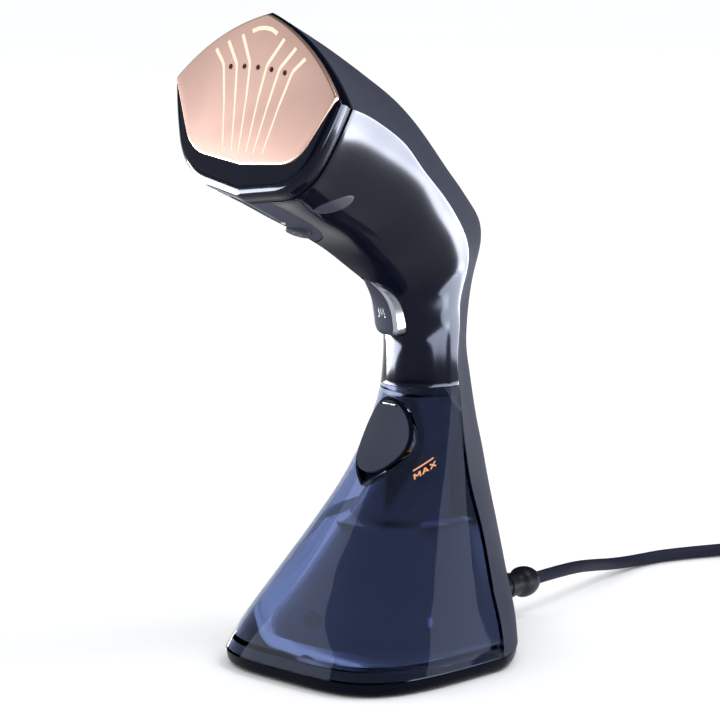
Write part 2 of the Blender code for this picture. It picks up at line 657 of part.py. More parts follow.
def make_shells():
    neck = place_at_level(NECK_BOTTOM)
    rows = [cover_front] + [p for p in body_rows(14) if p > COLLAR_BACK + 6]
    front_rows = [r for r in rows if callable(r) or r < neck - 4] + [neck]
    front = shell("front_shell", front_rows, RIGHT, LEFT, 0.0, WALL, NAVY)
    cover_rows = [r for r in rows if callable(r) or r < CUT_PLACES[-1] - 4]
    cover_rows += [place_at_level(SOLE_TOP + GAP)]
    cover = shell("rear_cover", cover_rows, LEFT, LOOP + RIGHT, 0.0, WALL, SLATE)

    notch = under_prism("cut_panel", tongue_outline(GAP), -8, 10, DARK)
    boolean(front, notch)
    slot = loft("cut_trigger_slot", trigger_slot(), DARK)
    boolean(front, slot)
    hole = rod("cut_bush", (0, 60, SWIVEL_LEVEL), (0, 130, SWIVEL_LEVEL), BUSH_R + GAP, DARK, 28)
    boolean(cover, hole)

    panel = shell(
        "control_panel",
        [cover_front] + [p for p in body_rows(14) if COLLAR_BACK + 6 < p < 100],
        RIGHT + SIDE_STEPS // 2,
        LEFT - SIDE_STEPS // 2,
        PANEL_SUNK,
        PANEL_THICK,
        DARK,
        edge=1.0,
    )
    trim = under_prism("trim_panel", tongue_outline(), -7, 9, DARK)
    boolean(panel, trim, "INTERSECT")
    well = under_prism("cut_button_well", oval(BUTTON_HALF_WIDE + GAP, BUTTON_HALF_LONG + GAP, 24, BUTTON_RUN), -5, 9, DARK)
    boolean(panel, well)
    boolean(panel, rod("cut_light", under_head(0, LIGHT_RUN, -5), under_head(0, LIGHT_RUN, 9), LIGHT_R + GAP, DARK))


def trigger_slot():
    """The opening that the trigger moves in, a little larger than its base all round."""
    top, bottom = TRIGGER_CUTS[0][0] + 0.8, TRIGGER_CUTS[-1][0] - 0.8
    right = [(TRIGGER_CUTS[0][3] + TRIGGER_GAP, top)]
    right += [(half + TRIGGER_GAP, level) for level, _, _, half in TRIGGER_CUTS[1:-1]]
    right += [(TRIGGER_CUTS[-1][3] + TRIGGER_GAP, bottom)]
    outline = right + [(-x, z) for x, z in right[::-1]]
    return [[(x, y, z) for x, z in outline] for y in (-22.0, TRIGGER_BACK + 4)]


# ---------------------------------------------------------------- controls
def make_controls():
    button_at = under_head(0, BUTTON_RUN, 0)
    levels = (-BUTTON_PROUD, BUTTON_DEEP)
    button = loft(
        "power_button",
        [[under_head(x, r, d) for x, r in oval(BUTTON_HALF_WIDE, BUTTON_HALF_LONG, 24, BUTTON_RUN)] for d in levels],
        SLATE,
        origin=button_at,
    )
    round_edges(button, 0.5)
    turn = -UNDER_FALL
    block(
        "power_switch",
        under_head(0, BUTTON_RUN, (BUTTON_DEEP + BUTTON_TRAVEL + BOARD_DEEP) / 2),
        (6, 6, BOARD_DEEP - BUTTON_DEEP - BUTTON_TRAVEL - 2 * GAP),
        DARK,
        turn,
    )
    block("circuit_board", under_head(0, BOARD_RUN, BOARD_DEEP + 0.8), (38, 42, 1.6), BOARD, turn)
    block("board_relay", under_head(9, BOARD_RUN - 6, BOARD_DEEP + 1.6 + GAP + 4), (15, 12, 8), DARK, turn)
    turned(
        "board_capacitor",
        under_head(-11, BOARD_RUN - 4, BOARD_DEEP + 1.6 + GAP),
        under_head(0, 0, 1) - under_head(0, 0, 0),
        [(0.01, 0), (4.5, 0), (4.5, 10), (0.01, 10)],
        STEEL,
        18,
    )
    rod("power_light", under_head(0, LIGHT_RUN, 0.3), under_head(0, LIGHT_RUN, BOARD_DEEP - GAP), LIGHT_R, SILICONE, 12)

    sections = []
    for level, face, half_face, half_base in TRIGGER_CUTS:
        shoulder = face + TRIGGER_SHOULDER * min(1.0, half_face / 5)
        right = [(half_face, face + 0.5), (half_base, shoulder), (half_base, TRIGGER_BACK)]
        outline = right + [(-x, y) for x, y in right[::-1]] + [(0, face)]
        sections.append([(x, y, level) for x, y in outline])
    y, z = TRIGGER_PIVOT
    trigger = loft("steam_trigger", sections, SLATE, origin=(0, y, z))
    boolean(trigger, rod("cut_trigger_bore", (-20, y, z), (20, y, z), TRIGGER_PIN_R + GAP, DARK))
    rod("trigger_pin", (-EAR_OUT - 1, y, z), (EAR_OUT + 1, y, z), TRIGGER_PIN_R, STEEL)
    bracket = block("trigger_bracket", (0, 20.5, z + 9.5), (2 * EAR_OUT, 13, 2), STEEL)
    for x in (-1, 1):
        ear = block(f"guide_ear_{x}", (x * (EAR_OUT - 0.8), 17.2, z + 3.5), (1.6, 8, 12), STEEL)
        boolean(bracket, ear, "UNION")
    boolean(bracket, block("guide_bracket_back", (0, 26, z - 2.5), (2 * EAR_OUT, 2, 26), STEEL), "UNION")
    boolean(bracket, rod("cut_bracket_bores", (-20, y, z), (20, y, z), TRIGGER_PIN_R + GAP, DARK))
    near, far = TRIGGER_BACK + 0.8 + SPRING_WIRE, 25 - GAP - SPRING_WIRE
    turns = [(2 * pi * k / 8, near + (far - near) * k / 24) for k in range(25)]
    spring = [(SPRING_R * cos(a), out, z - 6 + SPRING_R * sin(a)) for a, out in turns]
    hose("trigger_spring", spring, SPRING_WIRE, STEEL, 2.2, 1)
    switch = block("steam_switch", (0, SWITCH_Y, SWITCH_LEVEL), (12, 3.8, 11), DARK)
    start, end = TRIGGER_BACK + 0.4, SWITCH_Y - 1.1
    bore = rod("cut_switch_bore", (0, 24, SWITCH_LEVEL), (0, end + 2.4, SWITCH_LEVEL), PLUNGER_R + GAP, DARK)
    boolean(switch, bore)
    rod("switch_plunger", (0, start, SWITCH_LEVEL), (0, end, SWITCH_LEVEL), PLUNGER_R, SILICONE, 12)


# ---------------------------------------------------------------- tank
def column_at(level, grow=0.0, start_in=0.0):
    """The hollow column's outline at a level, from its right side round the front to its left."""
    half, front, full = column_cut(-level)
    half, front = half + grow, front - grow
    side = corner_y(level) + start_in
    points = []
    for k in range(2 * COLUMN_STEPS + 1):
        a = pi / 2 * k / COLUMN_STEPS
        x = half * abs(cos(a)) ** (2 / full) * (1 if k <= COLUMN_STEPS else -1)
        points.append(Vector((x, side + (front - side) * abs(sin(a)) ** (2 / full), level)))
    return points


def corner_y(level):
    """Where the side corner lies at a level."""
    return body_loop(place_at_level(level))[RIGHT].y


column_rows = COLUMN_CUTS[::-1]
column_cut = smooth_table([-row[0] for row in column_rows], [row[1:] for row in column_rows])


def tank_loop(level):
    """The tank's outline at a level: round the front, then back round the column."""
    place = place_at_level(level)
    outer, tuck = body_loop(place), on_loop(body_loop(place, WALL + GAP), RIGHT, GAP)
    front = [on_loop(outer, RIGHT, GAP / 2)] + outer[RIGHT + 1 : LEFT] + [on_loop(outer, LEFT, -GAP / 2)]
    column = column_at(level, COLUMN_GAP, 1.0)
    return front + [Vector((-tuck.x, tuck.y, level)), *column[::-1], tuck]


def cavity_loop(level):
    """The inside of the tank at a level, clear of its walls."""
    side = corner_y(level) - CAVITY_SIDE
    outer = body_loop(place_at_level(level), TANK_WALL)
    front = [p for p in outer[RIGHT : LEFT + 1] if p.y < side - 0.5]
    wide = 0.7 * outer[RIGHT].x + 0.3 * front[0].x
    column = [p for p in column_at(level, COLUMN_GAP + TANK_WALL) if p.y < side - 0.5][::-1]
    tight = max(column[-1].x, column_at(level, COLUMN_GAP + TANK_WALL)[0].x - 0.3)
    before = [(wide, side), *((p.x, p.y) for p in front), (-wide, side)]
    after = [(-tight, side), *((p.x, p.y) for p in column), (tight, side)]
    return [Vector((*p, level)) for p in spaced(before, 21) + spaced(after, 15)]


def spaced(points, count):
    """The same path with a fixed number of evenly spaced points."""
    table = np.array(points)
    run = np.concatenate([[0], np.cumsum(np.hypot(*np.diff(table, axis=0).T))])
    spots = np.linspace(0, run[-1], count)
    return [(float(np.interp(s, run, table[:, 0])), float(np.interp(s, run, table[:, 1]))) for s in spots]


def door_rows():
    """Rows of the body that cover the fill door and its cup."""
    top, bottom = TANK_TOP, DOOR_LEVEL - CUP_POINT - 3
    return [place_at_level(top - (top - bottom) * k / 8) for k in range(9)]


def door_at(x, up, out):
    """A point in the fill door's frame: across, up the tank's front, and out of it."""
    lean = radians(DOOR_LEAN)
    y = DOOR_Y + up * sin(lean) - out * cos(lean)
    z = DOOR_LEVEL + up * cos(lean) + out * sin(lean)
    return Vector((x, y, z))


def door_prism(name, outline):
    """A straight guide in the door's frame from its (x, up) outline."""
    return loft(name, [[door_at(x, up, d) for x, up in outline] for d in (-22, 14)], DARK)


def cup_outline(grow=0.0):
    """The filler cup's leaf shape: an oval round the door that runs down to a point."""
    wide, tall = DOOR_HALF_WIDE + CUP_MARGIN + grow, DOOR_HALF_TALL + CUP_MARGIN + grow
    right = [Vector((wide * sin(a), tall * cos(a))) for a in (pi / 2 * k / 6 for k in range(7))]
    side, pull, point = right[6], Vector((wide, -0.6 * tall)), Vector((0, -CUP_POINT - 1.3 * grow))
    for k in range(1, 7):
        u = k / 6
        right.append(side * (1 - u) ** 2 + pull * (2 * u * (1 - u)) + point * u**2)
    return [(p.x, p.y) for p in right] + [(-p.x, p.y) for p in right[-2:0:-1]]


def front_piece(name, outline, inset, thick, material, origin=(0, 0, 0)):
    """A piece of the tank's front surface inside an outline, some way in and so thick."""
    piece = shell(name, door_rows(), RIGHT + 2, LEFT - 2, inset, thick, material, edge=0.1, origin=origin)
    boolean(piece, door_prism(f"trim_{name}", outline), "INTERSECT")
    return piece


def outlet_at(way):
    """A point on the outlet's line, which is square to the column's front near the tank's floor."""
    lean = radians(OUTLET_LEAN)
    y = column_at(OUTLET_LEVEL)[COLUMN_STEPS].y
    return Vector((0, y + way * cos(lean), OUTLET_LEVEL - way * sin(lean)))


def make_tank():
    levels = [TANK_BOTTOM, 20, 33, 46, 58, 71, 85, 100, 112, 123, 135, TANK_TOP]
    column = [column_at(z, 0.0, 1.0) + column_at(z, -COLUMN_WALL, 1.0)[::-1] for z in levels]
    column = loft("inner_column", column, DARK)
    floor = [column_at(z, -0.4, 1.0) for z in (SOLE_TOP + GAP, SOLE_TOP + GAP + COLUMN_FLOOR)]
    boolean(column, loft("guide_column_floor", floor, DARK), "UNION")
    for k, (x, y) in enumerate(SCREW_SPOTS):
        for side in (-1, 1):
            spot = (side * x, y, 0), (side * x, y, 9.6)
            boolean(column, rod(f"cut_column_screw_{k}_{side}", *spot, SCREW_R + GAP, DARK))
    outlet_hole = rod("cut_outlet_column", outlet_at(-1.5), outlet_at(4), OUTLET_R + GAP, DARK)
    boolean(column, outlet_hole)

    tank = loft("water_tank", [tank_loop(z) for z in levels], CLEAR)
    inside = [TANK_FLOOR] + [z for z in levels if TANK_FLOOR + 3 < z < TANK_CEILING - 3] + [TANK_CEILING]
    boolean(tank, loft("cut_tank_cavity", [cavity_loop(z) for z in inside], DARK))
    below = [Vector((p.x, p.y, TANK_BOTTOM - 3)) for p in cavity_loop(TANK_BOTTOM)]
    skirt = [below, cavity_loop(TANK_BOTTOM), cavity_loop(TANK_FLOOR - TANK_FLOOR_THICK)]
    boolean(tank, loft("cut_tank_skirt", skirt, DARK))
    boolean(tank, front_piece("cut_cup_hole", cup_outline(GAP), -3.0, 7.0, DARK))
    boolean(tank, rod("cut_outlet_tank", outlet_at(-4), outlet_at(1), OUTLET_R + GAP, DARK))
    grommet = [
        (OUTLET_BORE, -4.2), (OUTLET_FLANGE_R, -4.2), (OUTLET_FLANGE_R, -2.5), (OUTLET_R, -2.5),
        (OUTLET_R, 6.0), (OUTLET_BORE, 6.0),
    ]
    turned("tank_outlet", outlet_at(0), outlet_at(1) - outlet_at(0), grommet, RUBBER, 20)

    cup = front_piece("filler_cup", cup_outline(), 0.0, CUP_DEEP + CUP_FLOOR, DARK)
    boolean(cup, front_piece("cut_cup_scoop", cup_outline(-CUP_WALL), -4.0, CUP_DEEP + 4.0, DARK))
    boolean(cup, rod("cut_throat", door_at(0, 0, 3), door_at(0, 0, -20), THROAT_R, DARK, 24))
    up, out = DOOR_PIVOT
    door = front_piece(
        "fill_door",
        oval(DOOR_HALF_WIDE, DOOR_HALF_TALL, 28),
        -DOOR_PROUD,
        DOOR_THICK,
        SLATE,
        origin=door_at(0, up, out),
    )
    left, right = door_at(-DOOR_PIN_HALF, up, out), door_at(DOOR_PIN_HALF, up, out)
    widen = Vector((1.5, 0, 0))
    boolean(door, rod("cut_door_bore", left - widen, right + widen, DOOR_PIN_R + GAP, DARK, 12))
    rod("door_pin", left, right, DOOR_PIN_R, STEEL, 12)
    seal_inset = DOOR_THICK - DOOR_PROUD + GAP
    seal = front_piece("door_seal", oval(SEAL_R + SEAL_WIDE, SEAL_R + SEAL_WIDE, 28), seal_inset, 1.6, SILICONE)
    boolean(seal, door_prism("cut_door_seal", oval(SEAL_R, SEAL_R, 28)))


# ---------------------------------------------------------------- pump and hoses
def make_pump():
    low, high = PUMP_LOW, PUMP_LOW + PUMP_BODY_TALL
    body = [
        (0.01, low - NOZZLE_TALL), (NOZZLE_R, low - NOZZLE_TALL), (NOZZLE_R, low), (PUMP_BODY_R, low),
        (PUMP_BODY_R, high), (NOZZLE_R, high), (NOZZLE_R, high + NOZZLE_TALL), (0.01, high + NOZZLE_TALL),
    ]
    turned("pump_body", (0, PUMP_Y, 0), (0, 0, 1), body, DARK, 20)
    ring = PUMP_BODY_R + GAP
    coil_low, coil_high = low + 8, low + 8 + PUMP_COIL_TALL
    coil = [(ring, coil_low), (PUMP_R, coil_low), (PUMP_R, coil_high), (ring, coil_high)]
    turned("pump_coil", (0, PUMP_Y, 0), (0, 0, 1), coil, COPPER, 24)
    bracket = block("pump_bracket", (0, PUMP_Y, low - 2.5), (28, 20, 2), STEEL)
    boolean(bracket, rod("cut_pump_bracket", (0, PUMP_Y, low - 8), (0, PUMP_Y, low), NOZZLE_R + 0.8, DARK))

    feed = [outlet_at(6.3), outlet_at(12), (0, -4, 32), (0, 16, 50), (0, 33, 84), (0, 42, 118)]
    feed += [(0, PUMP_Y, low - NOZZLE_TALL - 8), (0, PUMP_Y, low - NOZZLE_TALL - GAP)]
    hose("inlet_tube", feed, HOSE_R, SILICONE, 14, 2)
    mouth = PLATE_THICK + GAP + CHAMBER_DEEP + GAP + 11 + GAP
    delivery = [(0, PUMP_Y, high + NOZZLE_TALL + GAP), (0, PUMP_Y, high + NOZZLE_TALL + 12), (0, 38, 234)]
    delivery += [(0, 14, 263), (0, -18, 285), in_head(0, NOZZLE_UP, mouth + 10), in_head(0, NOZZLE_UP, mouth)]
    hose("delivery_tube", delivery, HOSE_R, SILICONE, 12, 2)


# ---------------------------------------------------------------- base
def make_base():
    ground = place_at_level(SOLE_TOP)
    insets = [(SOLE_TOP, 0.5), (5.0, 0.7), (2.0, 2.0), (FOOT_PROUD, 4.2)]
    loops = [[Vector((p.x, p.y, z)) for p in body_loop(ground, inset)] for z, inset in insets]
    base = loft("base_plate", loops, DARK)
    for k, (x, y) in enumerate(FOOT_SPOTS):
        for side, word in ((-1, "left"), (1, "right")):
            place = ("front", "rear")[k]
            pocket = rod(f"cut_foot_{k}_{side}", (side * x, y, -2), (side * x, y, FOOT_DEEP + GAP), FOOT_R + GAP, DARK, 20)
            boolean(base, pocket)
            rubber = [(0.01, 0), (FOOT_R - 0.5, 0), (FOOT_R, 0.5), (FOOT_R, FOOT_DEEP), (0.01, FOOT_DEEP)]
            turned(f"foot_{place}_{word}", (side * x, y, 0), (0, 0, 1), rubber, RUBBER, 20)
    for k, (x, y) in enumerate(SCREW_SPOTS):
        for side, word in ((-1, "left"), (1, "right")):
            place = ("front", "rear")[k]
            spot = (side * x, y, 0)
            boolean(base, rod(f"cut_screw_{k}_{side}", spot, (side * x, y, 10), SCREW_R + GAP, DARK))
            sink = rod(f"cut_sink_{k}_{side}", (side * x, y, -1), (side * x, y, 3.3), SCREW_HEAD_R + GAP, DARK)
            boolean(base, sink)
            screw = [(0.01, 1), (SCREW_HEAD_R, 1), (SCREW_HEAD_R, 3), (SCREW_R, 3), (SCREW_R, 9.2), (0.01, 9.2)]
            turned(f"base_screw_{place}_{word}", spot, (0, 0, 1), screw, STEEL, 14)
    block("terminal_block", (0, 8, SOLE_TOP + COLUMN_FLOOR + 2 * GAP + 5), (26, 14, 10), SILICONE)


# ---------------------------------------------------------------- cord
def make_cord():
    bush = [(BUSH_R - BUSH_WALL, 84), (10.5, 84), (10.5, 86.4), (BUSH_R, 86.4), (BUSH_R, 99.6), (BUSH_R - BUSH_WALL, 99.6)]
    turned("cord_bush", (0, 0, SWIVEL_LEVEL), (0, 1, 0), bush, DARK, 28)
    out = BODY_CUTS[-1][0] + SWIVEL_OUT
    swivel = [
        (0.01, 80), (9, 80), (9, 83.7), (SWIVEL_NECK_R, 83.7), (SWIVEL_NECK_R, 100.2), (7.2, 100.2),
        (7.2, 104.0), (SWIVEL_NECK_R, 105.0), (SWIVEL_NECK_R, 111.0), (SWIVEL_BELL_R - 0.8, 116.0),
        (SWIVEL_BELL_R, 121.0), (SWIVEL_BELL_R - 0.8, out - 1.0), (CORD_R + 2, out), (0.01, out),
    ]
    turned("cord_swivel", (0, 0, SWIVEL_LEVEL), (0, 1, 0), swivel, DARK, 28, origin=(0, 90, SWIVEL_LEVEL))
    hose("cord", CORD_ROUTE, CORD_R, SHEATH, 9.0, 3)
    coil = [(COIL_INNER, 0.05), (COIL_OUTER, 0.05), (COIL_OUTER, COIL_TALL), (COIL_INNER, COIL_TALL)]
    turned("cord_coil", (COIL_X, COIL_Y, 0), (0, 0, 1), coil, SHEATH, 40)
    hose("cord_tail", [(TAIL_X, y, z) for y, z in TAIL_ROUTE], CORD_R, SHEATH, 9.0, 3)
    far = PLUG_RELIEF + PLUG_LONG
    plug = [
        (0.01, 0), (5.0, 0), (7.5, PLUG_RELIEF), (PLUG_R - 3, PLUG_RELIEF + 4), (PLUG_R, PLUG_RELIEF + 10),
        (PLUG_R, far - 1), (PLUG_R - 1, far), (0.01, far),
    ]
    turned("plug_body", (TAIL_X, PLUG_START_Y, PLUG_LEVEL), (0, -1, 0), plug, RUBBER, 28)
    face = PLUG_START_Y - far - GAP
    for side, word in ((-1, "left"), (1, "right")):
        start = (TAIL_X + side * PLUG_PIN_PITCH / 2, face, PLUG_LEVEL)
        rod(f"plug_pin_{word}", start, Vector(start) - Vector((0, PLUG_PIN_LONG, 0)), PLUG_PIN_R, STEEL)


make_head()
make_chamber()
make_shells()
make_controls()
make_tank()
make_pump()
make_base()
make_cord()
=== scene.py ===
# %% [markdown]
# # A hand-held garment steamer
# A packed, jointed model gives every piece its place. This lesson builds the finished looks around
# it: denser shells, a clear tank with water, a printed steam plate, a real cord, and a material
# with its own fine detail for each surface.

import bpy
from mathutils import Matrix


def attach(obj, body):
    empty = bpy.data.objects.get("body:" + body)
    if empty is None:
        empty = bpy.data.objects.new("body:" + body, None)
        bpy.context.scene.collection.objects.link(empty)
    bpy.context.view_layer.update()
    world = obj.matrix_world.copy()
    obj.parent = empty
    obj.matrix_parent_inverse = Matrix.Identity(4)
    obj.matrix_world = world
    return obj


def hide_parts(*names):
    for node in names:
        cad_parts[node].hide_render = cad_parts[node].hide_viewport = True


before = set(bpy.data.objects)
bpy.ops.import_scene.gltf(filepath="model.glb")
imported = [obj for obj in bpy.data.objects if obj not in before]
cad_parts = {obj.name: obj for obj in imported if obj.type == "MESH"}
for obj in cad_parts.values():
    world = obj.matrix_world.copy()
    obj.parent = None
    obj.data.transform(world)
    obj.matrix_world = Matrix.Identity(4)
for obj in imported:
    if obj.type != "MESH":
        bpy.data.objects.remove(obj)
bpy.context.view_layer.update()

# %% [markdown]
# The drawing is in millimetres, with the body's own zero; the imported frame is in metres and
# centred on the floor. One small function turns a drawing point into a point of the frame, so
# every number below can be read as a size on a drawing board.

# %% Tools for the whole lesson
from math import atan2, ceil, cos, hypot, pi, radians, sin

import bmesh
import bpy
import numpy as np
from mathutils import Vector

MM = 0.001
BODY_FRONT_Y, BODY_BACK_Y = -97.5, 129.0  # plate side and cord bell, in the maker's drawing
DRAWING_SHIFT = Vector((0, -(BODY_FRONT_Y + BODY_BACK_Y) / 2, 0))


def at(point):
    """A drawing point in millimetres, as a point of the frame in metres."""
    return (Vector(point) + DRAWING_SHIFT) * MM


print("the drawing's zero lies at", at((0, 0, 0))[:], "m")

# %% [markdown]
# ## Camera
# A small object looks calm through a long lens. The camera stands almost two metres away, to the
# right of the plate and a little above the head, and aims at the middle of the body. A small shift
# puts the object left of the picture's middle, where its cord has room to leave.

# %% Camera
CAMERA_PLACE, CAMERA_AIM = (1342.4, -1376.4, 540.7), (71.2, -60.0, 160.0)
LENS, SENSOR = 186.9, 36.0
SHIFT = (-30 / 720, 40 / 720)

lens = bpy.data.cameras.new("studio_camera")
lens.lens, lens.sensor_width = LENS, SENSOR
lens.shift_x, lens.shift_y = SHIFT
camera = bpy.data.objects.new("studio_camera", lens)
camera.location = at(CAMERA_PLACE)
camera.rotation_euler = (at(CAMERA_AIM) - at(CAMERA_PLACE)).to_track_quat("-Z", "Y").to_euler()
bpy.context.collection.objects.link(camera)
bpy.context.scene.camera = camera
print("camera stands", round((at(CAMERA_AIM) - at(CAMERA_PLACE)).length, 2), "m from its aim")

# %% [markdown]
# ## Making pieces
# Every piece below is a mesh made from points. A stack of loops with the same number of points is
# skinned into a closed body, and its sharp edges are marked, so smooth shading stays clean.


# %% Mesh helpers
def piece(name, points, faces, material, body="housing"):
    """A closed mesh piece that rides on a body of the frame."""
    shape = bmesh.new()
    corners = [shape.verts.new(at(p)) for p in points]
    for face in faces:
        shape.faces.new([corners[i] for i in face])
    bmesh.ops.recalc_face_normals(shape, faces=shape.faces[:])
    mesh = bpy.data.meshes.new(name)
    shape.to_mesh(mesh)
    shape.free()
    mesh.materials.append(material)
    thing = bpy.data.objects.new(name, mesh)
    bpy.context.collection.objects.link(thing)
    shade(mesh)
    if body:
        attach(thing, body)
    return thing


def shade(mesh, angle=32):
    """Smooth shading with edges sharper than the angle kept crisp."""
    mesh.shade_smooth()
    mesh.set_sharp_from_angle(angle=radians(angle))


def skin(loops, ring=False):
    """Faces that join equal loops in order, capped at both ends or joined in a ring."""
    count, rows = len(loops[0]), len(loops) if ring else len(loops) - 1
    faces = []
    for k in range(rows):
        here, there = k * count, (k + 1) % len(loops) * count
        for i in range(count):
            j = (i + 1) % count
            faces.append((here + i, here + j, there + j, there + i))
    if not ring:
        last = (len(loops) - 1) * count
        faces += [tuple(range(count))[::-1], tuple(range(last, last + count))]
    return [p for loop in loops for p in loop], faces


def loft(name, loops, material, body="housing", ring=False):
    """A piece skinned over loops of points."""
    return piece(name, *skin(loops, ring), material, body)


print("a loft over two triangles has", len(skin([[0, 1, 2], [3, 4, 5]])[1]), "faces")

# %% [markdown]
# Real mouldings have rounded edges and openings. A bevel rounds the piece's own edges, boolean
# cutters open it up, and the result is baked into the mesh, so no modifier is left behind.


# %% Rounding and cutting
def settle(thing, *cutters, operation="DIFFERENCE", round_off=0.0, angle=32):
    """Round the piece's own edges, cut it, and bake both into its mesh."""
    if round_off:
        bevel = thing.modifiers.new("rounded", "BEVEL")
        bevel.width, bevel.segments = round_off * MM, 3
        bevel.limit_method, bevel.angle_limit = "ANGLE", radians(50)
    for cutter in cutters:
        cut = thing.modifiers.new("cut", "BOOLEAN")
        cut.operation, cut.object, cut.solver = operation, cutter, "EXACT"
    seen = thing.evaluated_get(bpy.context.evaluated_depsgraph_get())
    mesh = bpy.data.meshes.new_from_object(seen)
    thing.modifiers.clear()
    thing.data = mesh
    shade(mesh, angle)
    for cutter in cutters:
        bpy.data.objects.remove(cutter)
    return thing


print("pieces can be rounded and cut")

# %% [markdown]
# ## Materials
# Moulded plastic is never one flat colour. Each finish here has a slow drift in its colour, a fine
# grain in its roughness and a grain that lifts the surface by a few hundredths of a millimetre.
# One recipe makes them all; only its numbers differ. Values that are the same all over a surface
# are set on the shader itself.


# %% The moulded-plastic recipe
def shader_of(material, **values):
    """The material's shader, with plain values set on its own sockets."""
    shader = material.node_tree.nodes["Principled BSDF"]
    for key, value in values.items():
        shader.inputs[key.replace("_", " ")].default_value = value
    return shader


def moulded(name, dark, light, rough, grain=900.0, lift=0.02, drift=14.0, **values):
    """A procedural finish: colour drift, grainy roughness and a lifted grain."""
    material = bpy.data.materials.new(name)
    material.use_nodes = True
    tree = material.node_tree
    shader = shader_of(material, **values)
    place = tree.nodes.new("ShaderNodeTexCoord")
    slow = tree.nodes.new("ShaderNodeTexNoise")
    slow.inputs["Scale"].default_value = drift
    slow.inputs["Detail"].default_value = 3
    tint = tree.nodes.new("ShaderNodeValToRGB")
    tint.color_ramp.elements[0].position, tint.color_ramp.elements[1].position = 0.3, 0.7
    tint.color_ramp.elements[0].color = (*dark, 1)
    tint.color_ramp.elements[1].color = (*light, 1)
    fine = tree.nodes.new("ShaderNodeTexNoise")
    fine.inputs["Scale"].default_value = grain
    fine.inputs["Detail"].default_value = 4
    spread = tree.nodes.new("ShaderNodeMapRange")
    spread.inputs["To Min"].default_value, spread.inputs["To Max"].default_value = rough
    bump = tree.nodes.new("ShaderNodeBump")
    bump.inputs["Strength"].default_value = 0.35
    bump.inputs["Distance"].default_value = lift * MM
    link = tree.links.new
    link(place.outputs["Object"], slow.inputs["Vector"])
    link(place.outputs["Object"], fine.inputs["Vector"])
    link(slow.outputs["Fac"], tint.inputs["Fac"])
    link(tint.outputs["Color"], shader.inputs["Base Color"])
    link(fine.outputs["Fac"], spread.inputs["Value"])
    link(spread.outputs["Result"], shader.inputs["Roughness"])
    link(fine.outputs["Fac"], bump.inputs["Height"])
    link(bump.outputs["Normal"], shader.inputs["Normal"])
    return material


print("the recipe is ready")

# %% [markdown]
# The outside is a family of near-black blues that differ mostly in gloss. The spine is matt, the
# front shell is polished, and the trim and the sole lie between them. Their clear gloss is kept
# weak, so a streak shows only where a bright light stands in the mirror's direction.

# %% Finishes of the outside
slate = moulded(
    "slate_spine", (0.046, 0.050, 0.073), (0.056, 0.061, 0.085), (0.42, 0.56), 1400, 0.03,
    Specular_IOR_Level=0.012, Specular_Tint=(0.8, 0.85, 1.0, 1.0),
)
navy = moulded(
    "gloss_navy_shell", (0.0020, 0.0026, 0.008), (0.0028, 0.0038, 0.011), (0.09, 0.13), 500, 0.002,
    Specular_IOR_Level=0.13, Specular_Tint=(0.75, 0.81, 1.0, 1.0),
)
dark = moulded(
    "dark_trim", (0.0020, 0.0028, 0.008), (0.0035, 0.0048, 0.011), (0.28, 0.42), 1200, 0.02,
    Specular_IOR_Level=0.05, Specular_Tint=(0.75, 0.81, 1.0, 1.0),
)
sole_finish = moulded(
    "sole_navy", (0.0015, 0.0018, 0.006), (0.0024, 0.003, 0.009), (0.26, 0.32), 1000, 0.004,
    Specular_IOR_Level=0.05, Specular_Tint=(0.75, 0.81, 1.0, 1.0),
)
gasket = moulded(
    "black_rubber", (0.004, 0.005, 0.011), (0.007, 0.008, 0.016), (0.38, 0.5), 1600, 0.02,
    Specular_IOR_Level=0.35,
)
icon_ink = moulded("icon_ink", (0.006, 0.007, 0.012), (0.010, 0.011, 0.018), (0.3, 0.4), 1200, 0.005)
print("made the plastics and the icons' ink")

# %% [markdown]
# The parts inside are seen only faintly, or when the body is opened up, but each has the look of
# its own stuff: rough cast aluminium, bright steel, turned brass, wound copper, mica and a green
# board.

# %% Finishes of the parts inside
silicone = moulded("silicone", (0.50, 0.51, 0.53), (0.60, 0.61, 0.63), (0.38, 0.52), 900, 0.01)
casting = moulded(
    "cast_aluminium", (0.52, 0.52, 0.53), (0.66, 0.66, 0.67), (0.38, 0.58), 1100, 0.06, Metallic=1.0
)
steel = moulded(
    "bright_steel", (0.55, 0.55, 0.56), (0.66, 0.66, 0.67), (0.20, 0.34), 700, 0.006, Metallic=1.0
)
brass = moulded(
    "turned_brass", (0.66, 0.47, 0.22), (0.78, 0.58, 0.30), (0.20, 0.34), 700, 0.006, Metallic=1.0
)
winding = moulded(
    "copper_winding", (0.55, 0.22, 0.09), (0.72, 0.32, 0.15), (0.28, 0.42), 2200, 0.05, Metallic=1.0
)
mica = moulded("mica_sheet", (0.42, 0.38, 0.28), (0.56, 0.52, 0.42), (0.5, 0.8), 400, 0.05)
laminate = moulded("board_laminate", (0.012, 0.12, 0.05), (0.02, 0.18, 0.08), (0.3, 0.45), 1500, 0.01)
print("made", len(bpy.data.materials), "materials")

# %% [markdown]
# ## The cord
# A cord is a fixed length of something flexible. This one leaves the turning neck at the heel of
# the base, falls to the floor within a hand's width and lies there in a loose curve. The rest of
# its 2.5 m is wound in a neat round coil, three turns wide, and its plug lies beside the coil.

# %% Cord route
CORD_ROUTE = [
    (0.0, 129.3, 20.0), (-0.6, 141.0, 20.0), (-3.4, 157.0, 19.0), (-8.6, 176.0, 16.6),
    (-15.2, 197.0, 12.6), (-21.4, 217.0, 8.4), (-25.8, 236.0, 5.2), (-26.8, 252.0, 3.8),
    (-24.5, 268.0, 3.6), (-18.5, 284.0, 3.6), (-11.0, 300.0, 3.6),
    (-3.2, 316.0, 3.6), (4.4, 333.0, 3.6), (11.9, 350.7, 3.6),
]


